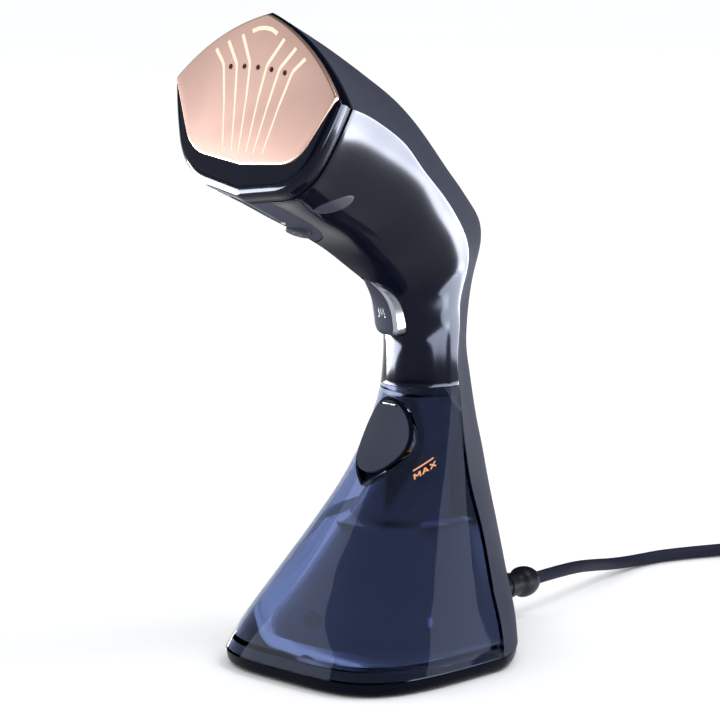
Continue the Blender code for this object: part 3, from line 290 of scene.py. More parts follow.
def curve_through(points, step):
    """Points every step or so on a smooth curve through the given points."""
    points = [Vector(p) for p in points]
    ends = [2 * points[0] - points[1], *points, 2 * points[-1] - points[-2]]
    smooth = []
    for a, b, c, d in zip(ends, ends[1:], ends[2:], ends[3:]):
        pieces = max(1, round((c - b).length / step))
        for k in range(pieces):
            u = k / pieces
            bend = (2 * a - 5 * b + 4 * c - d) * u**2 + (3 * b - a - 3 * c + d) * u**3
            smooth.append(0.5 * (2 * b + (c - a) * u + bend))
    return [*smooth, points[-1]]


print("cord route has", len(CORD_ROUTE), "points before the coil")

# %% [markdown]
# The coil winds inward, outward and inward again, so each layer starts where the last one ended
# and the cord never jumps. At the end of the last turn it climbs over the top and leaves for the
# plug.

# %% Coil
COIL_MIDDLE, COIL_TURNS_R, COIL_STEP = Vector((62.0, 327.0)), (33.6, 40.7, 47.8), 7.1
TAIL_X = 111.3
TURN_STEPS = 32


def coil_points():
    """The coil's centreline, wound clockwise from the floor stretch's end to over its top."""
    start = Vector(CORD_ROUTE[-1][:2]) - COIL_MIDDLE
    inward, outward = COIL_TURNS_R[::-1], COIL_TURNS_R
    layers = [inward, outward, inward[:2], [outward[1]]]
    angle, radius, level, spots = atan2(start.y, start.x), start.length, CORD_ROUTE[-1][2], []
    for layer, radii in enumerate(layers):
        over_top = layer == len(layers) - 1
        for target in radii:
            goal = CORD_ROUTE[-1][2] + layer * COIL_STEP
            sweep = angle if over_top else 2 * pi
            for k in range(1, TURN_STEPS + 1):
                swept = sweep * k / TURN_STEPS
                climb = min(1.0, swept / (pi / 2))
                climb = climb * climb * (3 - 2 * climb) * pi / 2
                r = radius + (target - radius) * (1 - cos(climb))
                if over_top and swept > pi / 2:
                    leave = (swept - pi / 2) / (sweep - pi / 2)
                    r += (TAIL_X - COIL_MIDDLE.x - target) * leave * leave * (3 - 2 * leave)
                turn = angle - swept
                spot = COIL_MIDDLE + r * Vector((cos(turn), sin(turn)))
                spots.append(Vector((*spot, level + (goal - level) * sin(climb))))
            radius, level = target, goal
    return spots


coil_line = coil_points()
print("the coil has", len(coil_line) // TURN_STEPS, "stretches of up to a turn")

# %% [markdown]
# The laid-out stretch, the coil and the tail are one curve with a round bevel, because a curve
# keeps its own length and the frame can measure it.

# %% Cord, coil and tail
CORD_R = 3.5
TAIL_ROUTE = [(318.0, 24.5), (310.0, 23.4), (303.0, 22.0), (293.0, 20.0), (283.0, 18.3)]  # y, level
sheath = moulded(
    "cord_sheath", (0.016, 0.018, 0.034), (0.024, 0.026, 0.047), (0.45, 0.6), 1500, 0.03,
    Specular_IOR_Level=0.08,
)


def line_length(points):
    """The length of a line through points."""
    return sum((b - a).length for a, b in zip(points, points[1:]))


def tube(name, points, radius, material):
    """A round piece along a line of points."""
    curve = bpy.data.curves.new(name, "CURVE")
    curve.dimensions = "3D"
    curve.bevel_depth, curve.bevel_resolution, curve.use_fill_caps = radius * MM, 6, True
    spline = curve.splines.new("POLY")
    spline.points.add(len(points) - 1)
    for slot, point in zip(spline.points, points):
        slot.co = (*at(point), 1)
        slot.radius = 1.0
    spline.use_smooth = True
    curve.materials.append(material)
    thing = bpy.data.objects.new(name, curve)
    bpy.context.collection.objects.link(thing)
    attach(thing, "housing")
    return thing


cord_line = curve_through(CORD_ROUTE, 6)[:-1] + [Vector(CORD_ROUTE[-1])] + coil_line
cord_line += curve_through([(TAIL_X, *spot) for spot in TAIL_ROUTE], 3)
cord = tube("mains_cord", cord_line, CORD_R, sheath)
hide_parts("cord", "cord_coil", "cord_tail")
print("the cord is", round(line_length(cord_line)), "mm long")

# %% [markdown]
# ## Floor and light
# The floor is a wide pale disc a hair below the feet, matt enough to take only a soft shadow.

# %% Floor
floor_paint = moulded("floor_paint", (0.94, 0.94, 0.94), (0.96, 0.96, 0.96), (0.75, 0.9), 40, 0.02, 3.0)
bpy.ops.mesh.primitive_circle_add(vertices=96, radius=14, fill_type="NGON", location=(0, 0, -0.0002))
floor = bpy.context.object
floor.name = "floor"
floor.data.materials.append(floor_paint)
print("floor is", round(floor.dimensions.x, 1), "m across")

# %% [markdown]
# A glossy dark shell shows its lights more than its own colour. It leans over, so it mirrors the
# floor: four soft panels lie flat there and draw the pale streaks on neck and head. They and the
# two tall softboxes are seen only by gloss. One large key light lights everything.

# %% Lights
TALL_LIGHTS = {  # name: place, aim, width, height, brightness, whether it lights matt surfaces too
    "tank_right": ((1160, 780, 520), (0, 20, 200), 520, 1000, 1.3, False),
    "plate_front": ((-1500, -1450, 950), (0, -80, 310), 1500, 1300, 1.25, False),
    "key": ((950, 620, 1850), (0, 0, 0), 800, 800, 6.0, True),
}
LOW_LIGHTS = {  # name: direction seen from the neck, near edge, far edge, width, brightness
    "low_right": (36, 430, 1300, 440, 34.0),
    "low_seam": (64, 400, 1300, 440, 48.0),
    "low_front": (-3, 560, 1300, 620, 34.0),
    "low_left": (-150, 380, 1300, 760, 62.0),
}


def softbox(name, place, turn, wide, long, bright, matt):
    """A rectangular soft light of a given brightness, unseen by the camera itself."""
    lamp = bpy.data.lights.new(name, "AREA")
    lamp.shape, lamp.size, lamp.size_y = "RECTANGLE", wide * MM, long * MM
    lamp.energy, lamp.color = bright * pi * wide * long * MM**2, (0.90, 0.93, 1.0)
    light = bpy.data.objects.new(name, lamp)
    light.location, light.rotation_euler = at(place), turn
    light.visible_diffuse, light.visible_transmission, light.visible_camera = matt, matt, False
    bpy.context.collection.objects.link(light)


for name, (place, aim, wide, tall, bright, matt) in TALL_LIGHTS.items():
    turn = (at(aim) - at(place)).to_track_quat("-Z", "Y").to_euler()
    softbox(name, place, turn, wide, tall, bright, matt)
for name, (way, near, far, wide, bright) in LOW_LIGHTS.items():
    reach = (near + far) / 2
    place = (reach * cos(radians(way)), 20 + reach * sin(radians(way)), 1)
    softbox(name, place, (pi, 0, radians(way)), far - near, wide, bright, False)
print("set", len(TALL_LIGHTS) + len(LOW_LIGHTS), "lights")

# %% [markdown]
# The surroundings are an even pale sky. It lights the matt surfaces and shows through the tank,
# but it is kept out of gloss, because a mirror of it would wash the dark shell out to grey.

# %% Surroundings
SKY_COLOUR, SKY_STRENGTH = (0.98, 0.99, 1.0, 1), 1.13
world = bpy.data.worlds.new("studio")
world.use_nodes = True
world.node_tree.nodes["Background"].inputs["Color"].default_value = SKY_COLOUR
world.node_tree.nodes["Background"].inputs["Strength"].default_value = SKY_STRENGTH
world.cycles_visibility.glossy = False
bpy.context.scene.world = world
bpy.context.scene.view_settings.view_transform = "Standard"
print("sky strength", SKY_STRENGTH)

# %% [markdown]
# ## The body's surface
# Spine, front shell, frame of the plate and tank all share one flowing outer surface. It is drawn
# as flat cuts from the plate to the sole. Each cut runs from a ridge point at the back to a front
# point, with a roof up to the side corner, where the spine meets the front, and a side below it
# that is five-cornered at the head and round at the neck. A smooth blend through the cuts gives
# the surface anywhere.

# %% Cuts of the body
#   ridge y,z       front y,z     side share,x  jaw share,x  pentagon fullness roof share,pull
BODY_CUTS = np.array([
    (-73.5, 351.0, -98.5, 260.5, 0.445, 60.5, 0.930, 42.0, 1.00, 2.30, 0.50, 13.0),
    (-61.8, 344.6, -86.9, 253.5, 0.421, 58.2, 0.930, 38.7, 1.00, 2.30, 0.50, 12.3),
    (-43.0, 334.5, -80.3, 250.3, 0.398, 55.5, 0.930, 36.5, 1.00, 2.30, 0.50, 11.0),
    (-12.0, 316.4, -58.0, 237.8, 0.384, 50.0, 0.920, 31.5, 1.00, 2.30, 0.50, 9.0),
    (21.2, 294.5, -37.0, 226.6, 0.428, 43.0, 0.900, 27.0, 1.00, 2.30, 0.50, 8.0),
    (51.8, 262.5, -15.5, 212.0, 0.397, 35.0, 0.880, 22.5, 0.80, 2.20, 0.50, 7.0),
    (72.0, 241.0, 0.0, 201.0, 0.415, 29.0, 0.850, 19.0, 0.55, 2.10, 0.50, 6.0),
    (84.8, 222.0, 9.0, 193.0, 0.500, 25.0, 0.850, 16.0, 0.30, 2.00, 0.50, 5.0),
    (78.5, 203.0, 14.0, 180.0, 0.550, 23.0, 0.850, 15.0, 0.10, 2.00, 0.50, 4.0),
    (73.2, 184.0, 17.0, 171.0, 0.520, 22.3, 0.850, 15.0, 0.00, 2.00, 0.50, 4.0),
    (71.7, 166.0, 17.5, 162.0, 0.540, 22.3, 0.850, 15.0, 0.00, 2.00, 0.50, 4.0),
    (75.2, 146.0, 16.5, 146.0, 0.565, 23.5, 0.850, 15.0, 0.00, 2.00, 0.50, 4.5),
    (80.0, 123.0, 6.5, 123.0, 0.510, 26.5, 0.850, 15.0, 0.00, 2.05, 0.45, 5.5),
    (86.5, 100.0, -6.0, 100.0, 0.503, 33.0, 0.850, 15.0, 0.00, 2.20, 0.40, 7.0),
    (92.0, 71.0, -25.0, 71.0, 0.466, 45.5, 0.850, 15.0, 0.00, 2.60, 0.33, 10.0),
    (96.0, 46.0, -43.5, 46.0, 0.452, 56.5, 0.850, 15.0, 0.00, 2.95, 0.30, 13.0),
    (98.5, 20.0, -62.0, 20.0, 0.420, 66.0, 0.850, 15.0, 0.00, 3.50, 0.27, 16.0),
    (99.0, 8.0, -68.0, 8.0, 0.413, 68.5, 0.850, 15.0, 0.00, 3.90, 0.27, 16.5),
])
print("the body has", len(BODY_CUTS), "cuts")

# %% [markdown]
# Between the cuts each column of the table runs along a smooth curve whose slopes never overshoot,
# so the body neither bulges nor dents between two cuts.


# %% A smooth curve through a table
def smooth_table(places, values):
    """A smooth curve through a table's rows that never swings past them."""
    places, values = np.asarray(places, float), np.asarray(values, float)
    gaps = np.diff(places)[:, None]
    slopes = np.diff(values, axis=0) / gaps
    tangents = np.zeros_like(values)
    same = slopes[:-1] * slopes[1:] > 0
    near, far = 2 * gaps[1:] + gaps[:-1], gaps[1:] + 2 * gaps[:-1]
    safe = np.where(same, slopes[:-1], 1.0), np.where(same, slopes[1:], 1.0)
    tangents[1:-1] = np.where(same, (near + far) / (near / safe[0] + far / safe[1]), 0.0)
    tangents[0], tangents[-1] = slopes[0], slopes[-1]

    def value(place):
        k = int(np.clip(np.searchsorted(places, place, side="right") - 1, 0, len(places) - 2))
        h = places[k + 1] - places[k]
        u = (place - places[k]) / h
        if u < 0:
            return values[0] + tangents[0] * (place - places[0])
        if u > 1:
            return values[-1] + tangents[-1] * (place - places[-1])
        return (
            values[k] * (1 + 2 * u) * (1 - u) ** 2
            + tangents[k] * h * u * (1 - u) ** 2
            + values[k + 1] * u**2 * (3 - 2 * u)
            + tangents[k + 1] * h * u**2 * (u - 1)
        )

    return value


print("a middle row, half way between two:", smooth_table([0, 1], [[0.0], [2.0]])(0.5))

# %% [markdown]
# A place on the body is the distance along its middle line, from the plate to the sole. The blend
# is evened out over a few millimetres each way, because a glossy surface shows the least change
# in how fast it bends.

# %% Places along the body
SOFTEN = 5.0
middles = (BODY_CUTS[:, 0:2] + BODY_CUTS[:, 2:4]) / 2
CUT_PLACES = np.concatenate([[0], np.cumsum(np.hypot(*np.diff(middles, axis=0).T))])
SOLE_PLACE = CUT_PLACES[-1]
rough_cut = smooth_table(CUT_PLACES, BODY_CUTS)


def body_cut(place):
    """The cut at a place along the body, evened out over a short stretch each way."""
    reach = min(SOFTEN, place / 2 if place < SOLE_PLACE / 2 else (SOLE_PLACE - place) / 2)
    if reach <= 0.05:
        return rough_cut(place)
    offsets = np.linspace(-2, 2, 9)
    weights = np.exp(-0.5 * (offsets * 1.2) ** 2)
    rows = np.array([rough_cut(place + o * reach) for o in offsets])
    return (rows * weights[:, None]).sum(0) / weights.sum()


def place_at_level(level):
    """Where along the body, below the neck, a level cut lies at this height."""
    first = int(np.argmax(BODY_CUTS[:, 1] == BODY_CUTS[:, 3]))
    return float(np.interp(-level, -BODY_CUTS[first:, 1], CUT_PLACES[first:]))


print("the body is", round(SOLE_PLACE), "mm long on its middle line")

# %% [markdown]
# One cut's outline is a roof and a side, mirrored. The roof is one bent line from ridge to side
# corner. The side blends from a straight five-cornered form with a rounded jaw, at the head, to a
# superellipse, at the neck and tank. The head's flats swell a little, which spreads reflections.

# %% One cut's outline
ROOF_STEPS, SIDE_STEPS = 16, 44  # points from ridge to side corner, and from there to the front
RIGHT, LEFT = ROOF_STEPS, ROOF_STEPS + 2 * SIDE_STEPS  # the side corners in an outline
LOOP = 2 * (ROOF_STEPS + SIDE_STEPS)
JAW_ROUND = 0.2
CHEEK = 1.6


def flat_outline(cut):
    """One cut's outline from the ridge round by +x, as (x, distance from the ridge)."""
    long = hypot(cut[2] - cut[0], cut[3] - cut[1])
    corner, jaw = np.array([cut[5], cut[4] * long]), np.array([cut[7], cut[6] * long])
    front = np.array([0.0, long])
    roof = corner / hypot(*corner)
    pull = corner * (1 - cut[10]) + np.array([roof[1], -roof[0]]) * cut[11]
    u = (np.arange(ROOF_STEPS) / ROOF_STEPS)[:, None]
    roof_line = pull * (2 * u * (1 - u)) + corner * u**2
    u = np.arange(SIDE_STEPS + 1) / SIDE_STEPS
    power = 2 / cut[9]
    round_side = np.stack(
        [corner[0] * np.clip(np.cos(u * pi / 2), 0, 1) ** power,
         corner[1] + (long - corner[1]) * np.sin(u * pi / 2) ** power], 1,
    )
    v = np.clip((u - 0.5 + JAW_ROUND) / (2 * JAW_ROUND), 0, 1)[:, None]
    before, after = jaw + (corner - jaw) * 2 * JAW_ROUND, jaw + (front - jaw) * 2 * JAW_ROUND
    bent = before * (1 - v) ** 2 + jaw * (2 * v * (1 - v)) + after * v**2
    column = u[:, None]
    upper, lower = corner + (jaw - corner) * (2 * column), jaw + (front - jaw) * (2 * column - 1)
    below_bend = np.where(column >= 0.5 + JAW_ROUND, lower, bent)
    straight = np.where(column <= 0.5 - JAW_ROUND, upper, below_bend)
    across = (jaw - corner) / hypot(*(jaw - corner))
    swell = np.clip(2 * u, 0, 1) * (1 - np.clip(2 * u, 0, 1)) * 4 * CHEEK
    straight = straight + swell[:, None] * np.array([across[1], -across[0]])
    side_line = round_side + (straight - round_side) * cut[8]
    half = np.vstack([roof_line, side_line])
    return np.vstack([half, half[-2:0:-1] * (-1, 1)])


print("an outline has", len(flat_outline(body_cut(0))), "points")

# %% [markdown]
# In space, each outline lies in its own leaning plane. Walls need the same outline a little
# further in, so it can be inset with mitred corners.


# %% The outline in space
def body_loop(place, inset=0.0):
    """The outline at a place in space, inset by a distance; points ridge, +x side, front, -x side."""
    cut = body_cut(place)
    flat = flat_outline(cut)
    if inset:
        before, after = flat - np.roll(flat, 1, 0), np.roll(flat, -1, 0) - flat
        before /= np.linalg.norm(before, axis=1)[:, None]
        after /= np.linalg.norm(after, axis=1)[:, None]
        turned = np.stack([-before[:, 1], before[:, 0]], 1)
        normal = turned + np.stack([-after[:, 1], after[:, 0]], 1)
        normal /= np.linalg.norm(normal, axis=1)[:, None]
        share = np.clip((normal * turned).sum(1), 0.35, 1)
        flat = flat + normal * (inset / share)[:, None]
    long = hypot(cut[2] - cut[0], cut[3] - cut[1])
    run, fall = (cut[2] - cut[0]) / long, (cut[3] - cut[1]) / long
    return np.stack([flat[:, 0], cut[0] + run * flat[:, 1], cut[1] + fall * flat[:, 1]], 1)


print("the sole is", round(float(np.ptp(body_loop(SOLE_PLACE)[:, 0]))), "mm wide")

# %% [markdown]
# Every moulding of the body is a curved plate: a patch of the surface, from one point of the
# outline to another, with an outer and an inner face a wall's thickness apart.


# %% A curved plate of the body
def shell_piece(name, rows, first, last, inset, wall, material, edge=0.15, body="housing"):
    """A curved plate of the body between two points of the outline, along rows of places.

    A row is a place, or a function of the outline's index, counted 0 at the ridge to LOOP.
    """
    columns = list(range(first, last + 1))
    loops = []
    for row in rows:
        sides = []
        for depth in (inset, inset + wall):
            if callable(row):
                side = [body_loop(row(i % LOOP), depth)[i % LOOP] for i in columns]
            else:
                whole = body_loop(row, depth)
                side = [whole[i % LOOP] for i in columns]
            side = [Vector(p) for p in side]
            side[0] += (side[1] - side[0]).normalized() * edge
            side[-1] += (side[-2] - side[-1]).normalized() * edge
            sides.append(side)
        loops.append(sides[0] + sides[1][::-1])
    return loft(name, loops, material, body)


print("mouldings can be made")

# %% [markdown]
# ## Seams at the head
# Frame, collar and shells follow each other back from the plate. Their seams run level round the
# sides and then forward over the roof, so each seam is a place that depends on where in the
# outline it is.

# %% Seam lines at the head
GAP, WALL = 0.3, 2.2
BEZEL_BACK, BEZEL_RIDGE_BACK = 8.0, 4.9
COLLAR_BACK, COVER_RIDGE_FRONT = 12.8, 5.3


def roof_share(index):
    """0 at and below a side corner, 1 on the ridge."""
    index = min(index % LOOP, LOOP - index % LOOP)
    return max(0.0, 1 - index / ROOF_STEPS)


def bezel_back(index):
    """Where the frame ends."""
    return BEZEL_BACK + (BEZEL_RIDGE_BACK - BEZEL_BACK) * roof_share(index)


def cover_front(index):
    """Where the spine and the front shell begin."""
    return COLLAR_BACK + GAP + (COVER_RIDGE_FRONT - COLLAR_BACK - GAP) * roof_share(index)


def rows_to(last, step=2.6):
    """The front seam, then places every step or so to the last one."""
    start = COLLAR_BACK + GAP + 3
    count = ceil((last - start) / step)
    return [cover_front] + [start + (last - start) * k / count for k in range(count + 1)]


print("the frame is", BEZEL_BACK, "mm deep at the sides and", BEZEL_RIDGE_BACK, "at the ridge")

# %% [markdown]
# ## Simple cutting shapes
# Openings are cut with plain shapes: straight prisms that stand on the flat underside of the
# head, ovals, round rods and turned profiles. The underside has its own frame of reference: run
# is the way back along it, and deep is the way up into the head.

# %% Shapes under the head
UNDER_POINT, UNDER_FALL = (-58.0, 237.8), 29.5
PANEL_HALF_WIDE, PANEL_FRONT_RUN, PANEL_ROUND_RUN, PANEL_TIP_RUN = 15.5, -38.0, -8.7, 18.0


def under_head(x, run, deep):
    """A point under the head: across, back along the underside, and up into the head."""
    fall = radians(UNDER_FALL)
    y = UNDER_POINT[0] + run * cos(fall) + deep * sin(fall)
    z = UNDER_POINT[1] - run * sin(fall) + deep * cos(fall)
    return Vector((x, y, z))


def under_prism(name, outline, low, high, material=dark, body=None):
    """A straight piece standing on the underside's frame, from its (x, run) outline."""
    loops = [[under_head(x, run, d) for x, run in outline] for d in (low, high)]
    return loft(name, loops, material, body)


def tongue(grow=0.0, steps=32):
    """The control panel's outline: straight sides from the collar and a long round end."""
    half, tip = PANEL_HALF_WIDE + grow, PANEL_TIP_RUN + grow
    points = [(half, PANEL_FRONT_RUN)]
    for k in range(steps + 1):
        a = pi / 2 * k / steps
        points.append((half * cos(a), PANEL_ROUND_RUN + (tip - PANEL_ROUND_RUN) * sin(a)))
    return points + [(-x, run) for x, run in points[-2::-1]]


print("the control panel's outline has", len(tongue()), "points")

# %% [markdown]
# A round bar stands between any two points, and a turned piece spins a closed profile about any
# line, as on a lathe. Both need two directions square to their line, found with a cross product.


# %% Ovals, rods and turned pieces
def oval(half_x, half_y, steps=64, y=0.0):
    """Points round an oval."""
    angles = [2 * pi * k / steps for k in range(steps)]
    return [(half_x * cos(a), y + half_y * sin(a)) for a in angles]


def rod(name, start, end, radius, material=dark, body=None, sides=48):
    """A round bar between two points."""
    start, way = Vector(start), (Vector(end) - Vector(start))
    across = way.orthogonal().normalized()
    up = way.normalized().cross(across)
    angles = [2 * pi * k / sides for k in range(sides)]
    rim = [radius * (across * cos(a) + up * sin(a)) for a in angles]
    return loft(name, [[p + r for r in rim] for p in (start, start + way)], material, body)


def turned(name, start, way, profile, material, body="housing", sides=64):
    """A turned piece: a closed (radius, distance) profile spun about a line."""
    start, way = Vector(start), Vector(way).normalized()
    across = way.orthogonal().normalized()
    up = way.cross(across)
    loops = []
    for k in range(sides):
        a = 2 * pi * k / sides
        out = across * cos(a) + up * sin(a)
        loops.append([start + out * max(r, 0.01) + way * d for r, d in profile])
    return loft(name, loops, material, body, ring=True)


print("round shapes can be made")

# %% [markdown]
# The trigger is drawn as level cuts, like the body. Its opening in the shell is half a millimetre
# larger all round, so it can swing without a rub.

# %% The trigger's opening
TRIGGER_CUTS = [  # level, face y, face half width, base half width
    (206.3, -5.6, 0.7, 1.2), (202.5, -2.2, 2.6, 3.8), (197.5, 2.2, 4.4, 6.2), (192.0, 5.4, 5.5, 7.6),
    (185.5, 7.4, 6.1, 8.4), (179.5, 8.5, 6.2, 8.5), (176.0, 9.3, 5.2, 7.6), (174.2, 10.8, 3.4, 5.6),
]
TRIGGER_BACK, TRIGGER_GAP, SLOT_END = 20.0, 0.5, 0.8
trigger_cut = smooth_table([-row[0] for row in TRIGGER_CUTS], [row[1:] for row in TRIGGER_CUTS])


def trigger_slot(grow=TRIGGER_GAP, rows=36):
    """The opening that the trigger moves in, a little larger than its base all round."""
    top, bottom = TRIGGER_CUTS[0][0] + SLOT_END, TRIGGER_CUTS[-1][0] - SLOT_END
    right = []
    for k in range(rows + 1):
        z = TRIGGER_CUTS[0][0] + (TRIGGER_CUTS[-1][0] - TRIGGER_CUTS[0][0]) * k / rows
        right.append((trigger_cut(-z)[2] + grow, z))
    right[0], right[-1] = (right[0][0], top), (right[-1][0], bottom)
    outline = right + [(-x, z) for x, z in right[::-1]]
    return [[(x, y, z) for x, z in outline] for y in (-22.0, TRIGGER_BACK + 4)]


print("the trigger is", round(TRIGGER_CUTS[0][0] - TRIGGER_CUTS[-1][0], 1), "mm tall")

# %% [markdown]
# ## Spine and front shell
# The spine is a matte slate moulding from the head's tip down to the heel; the front shell is
# near-black and highly polished. Both are plates of the body's surface, so they meet in one even
# seam. The front shell is cut out for the panel under the head and for the trigger.

# %% Spine
SOLE_TOP = 7.7
spine_rows = rows_to(place_at_level(SOLE_TOP + GAP))
spine = shell_piece("spine_cover", spine_rows, LEFT, LOOP + RIGHT, 0, WALL, slate)
settle(spine, rod("bush_hole", (0, 60, 20), (0, 130, 20), 8.5), round_off=0.45)
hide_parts("rear_cover")
print("spine has", len(spine.data.polygons), "faces")

# %% [markdown]
# The front shell covers the head's sides and underside and the whole front of the neck. It ends
# where the tank begins, a fine gap above it.

# %% Front shell
NECK_BOTTOM = 146.0
front_rows = rows_to(place_at_level(NECK_BOTTOM))
front = shell_piece("front_shell_gloss", front_rows, RIGHT, LEFT, 0, WALL, navy)
settle(
    front, under_prism("tongue_notch", tongue(GAP), -8, 10),
    loft("slot", trigger_slot(), dark, None), round_off=0.4,
)
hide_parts("front_shell")
print("front shell has", len(front.data.polygons), "faces")

# %% [markdown]
# ## The head's face
# A five-cornered rose-gold plate sits in a gloss frame. The plate's own frame of reference lies in
# its face: across, up the plate, and into the head.

# %% The plate's frame of reference
HEAD_LEAN, PLATE_CENTRE = 15.5, (-83.8, 313.8)


def in_head(x, up, deep):
    """A point in the plate's frame: across, up the plate, and into the head."""
    lean = radians(HEAD_LEAN)
    y = PLATE_CENTRE[0] + up * sin(lean) + deep * cos(lean)
    z = PLATE_CENTRE[1] + up * cos(lean) - deep * sin(lean)
    return Vector((x, y, z))


def head_prism(name, outline, front_depth, back_depth, material=dark, body=None):
    """A straight piece in the head's frame, from its outline and two depths."""
    loops = [[in_head(*p, d) for p in outline] for d in (front_depth, back_depth)]
    return loft(name, loops, material, body)


print("the plate leans", HEAD_LEAN, "degrees")

# %% [markdown]
# Many outlines here turn a corner on a small round. A short curve does it: it starts on one side
# of the corner, is pulled towards the corner point, and ends on the other side.


# %% Rounds and insets of flat outlines
def bend(one, pull, two, shares):
    """Points on the curve from one to two that is pulled towards a third point."""
    return [one * (1 - v) ** 2 + pull * (2 * v * (1 - v)) + two * v**2 for v in shares]


QUARTERS = (0, 0.25, 0.5, 0.75, 1)


def inset_flat(loop, inset):
    """Move a closed flat outline inward by inset, with mitred corners."""
    moved = []
    for before, here, after in zip([loop[-1], *loop[:-1]], loop, [*loop[1:], loop[0]]):
        one, two = (here - before).normalized(), (after - here).normalized()
        normal = (Vector((-one.y, one.x)) + Vector((-two.y, two.x))).normalized()
        moved.append(here + normal * (inset / max(0.35, normal.dot(Vector((-one.y, one.x))))))
    return moved


print("a round takes", len(QUARTERS), "points")

# %% [markdown]
# The plate has a point at the top, two wide corners, two rounded jaws and a nearly straight foot.
# Its two upper edges are gently arched.

# %% The plate's outline
PLATE_TIP, PLATE_CORNER, PLATE_JAW, PLATE_FOOT = (0, 36.8), (57.8, -0.8), (38.0, -36.3), (0, -40.0)
PLATE_ROOF_PULL, PLATE_SOFT = 10.5, 2.2


def plate_outline(share=1.0, grow=0.0):
    """The plate's outline with its corners a little rounded, as (x, up) points."""
    tip, corner, jaw, foot = (Vector(p) for p in (PLATE_TIP, PLATE_CORNER, PLATE_JAW, PLATE_FOOT))
    pull = tip.lerp(corner, 0.5) + Vector((tip.y - corner.y, corner.x)).normalized() * PLATE_ROOF_PULL
    half = bend(tip, pull, corner, [k / 24 for k in range(24)])
    half += [corner, corner.lerp(jaw, 0.35), corner.lerp(jaw, 0.7)]
    half += bend(jaw.lerp(corner, 0.3), jaw, jaw.lerp(foot, 0.3), [k / 12 for k in range(1, 12)])
    half += [jaw.lerp(foot, 0.3), jaw.lerp(foot, 0.65), foot]
    loop = half + [Vector((-p.x, p.y)) for p in half[-2:0:-1]]
    rounded = []
    for before, here, after in zip([loop[-1], *loop[:-1]], loop, [*loop[1:], loop[0]]):
        turn = (here - before).normalized().dot((after - here).normalized())
        if turn > 0.93:
            rounded.append(here)
            continue
        one = here + (before - here).normalized() * PLATE_SOFT
        two = here + (after - here).normalized() * PLATE_SOFT
        rounded += bend(one, here, two, QUARTERS)
    loop = [p * share for p in rounded]
    return inset_flat(loop[::-1], -grow)[::-1] if grow else loop


print("the plate is", 2 * PLATE_CORNER[0], "mm wide")

# %% [markdown]
# The plate is brushed, coated metal of a rose gold. Steam leaves through five holes on a gentle
# arch across it. Its rim is rounded, which gives the thin bright line round the edge.

# %% Steam plate
PLATE_THICK = 3.2
HOLES, HOLE_SPACING, HOLE_LEVEL, HOLE_ARCH, HOLE_R = 5, 9.7, 9.4, 320, 1.45
rose = moulded(
    "rose_gold_plate", (0.54, 0.335, 0.268), (0.60, 0.385, 0.31), (0.30, 0.40), 1500, 0.006, 9.0,
    Metallic=0.75, Coat_Weight=0.25, Coat_Roughness=0.12,
)
plate = head_prism("steam_plate", plate_outline(), 0, PLATE_THICK, rose, "housing")
drills = []
for k in range(HOLES):
    x = (k - (HOLES - 1) / 2) * HOLE_SPACING
    up = HOLE_LEVEL - x**2 / HOLE_ARCH
    drills.append(rod(f"steam_drill_{k}", in_head(x, up, -2), in_head(x, up, 6), HOLE_R, rose, None, 32))
settle(plate, *drills, round_off=0.9)
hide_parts("soleplate")
print("plate drilled with", len(drills), "holes")

# %% [markdown]
# The frame round the plate rolls in at its face in a quarter round, then runs back along the
# body. It is drawn as a stack of outlines, each a little deeper and less inset than the last. Its
# inside is cut out for the plate, the steam chamber behind it and the head's hollow.

# %% Frame round the plate
BEZEL_FRONT, CHAMBER_SHARE = 1.0, 0.78
FACE_ROLL = [  # depth, inset
    (1.0, 6.0), (1.12, 4.4), (1.5, 2.9), (2.2, 1.7), (3.2, 0.75), (4.6, 0.2), (6.0, 0.0), (BEZEL_BACK, 0.0),
]


def face_loop(depth, inset):
    """One row of the frame's face, drawn closer together along the roof."""
    share = (depth - BEZEL_FRONT) / (BEZEL_BACK - BEZEL_FRONT)
    places = [BEZEL_FRONT + share * (bezel_back(i) - BEZEL_FRONT) for i in range(LOOP)]
    return [Vector(body_loop(place, inset)[i]) for i, place in enumerate(places)]


bezel = loft("gloss_bezel", [face_loop(depth, inset) for depth, inset in FACE_ROLL], navy)
hollow = [[Vector(p) for p in body_loop(depth, 3.2)] for depth in (4.7, 14.0)]
settle(
    bezel, loft("bezel_hollow", hollow, navy, None),
    head_prism("plate_pocket", plate_outline(1.0, GAP), -5, PLATE_THICK + GAP),
    head_prism("chamber_mouth", plate_outline(CHAMBER_SHARE, 0.6), -5, 40),
)
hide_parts("bezel")
print("frame has", len(bezel.data.polygons), "faces")

# %% [markdown]
# Behind the frame a dark collar lies in a shallow groove. It stops short of the ridge, where the
# spine comes forward to meet the frame.

# %% Collar
climb = round(ROOF_STEPS * 0.72)
collar_rows = [
    lambda i: bezel_back(i) + GAP,
    lambda i: (bezel_back(i) + cover_front(i)) / 2,
    lambda i: cover_front(i) - GAP,
]
collar = shell_piece("shadow_collar", collar_rows, RIGHT - climb, LEFT + climb, 0.9, 2.6, dark)
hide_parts("collar")
print("collar has", len(collar.data.polygons), "faces")

# %% [markdown]
# ## Print
# Lines and icons are thin strips with a real thickness that stand a hair proud of the surface
# under them. A strip follows a line drawn in the surface's own frame of reference.

# %% Strips of print
PRINT_PROUD, PRINT_DEEP = 0.05, 0.25


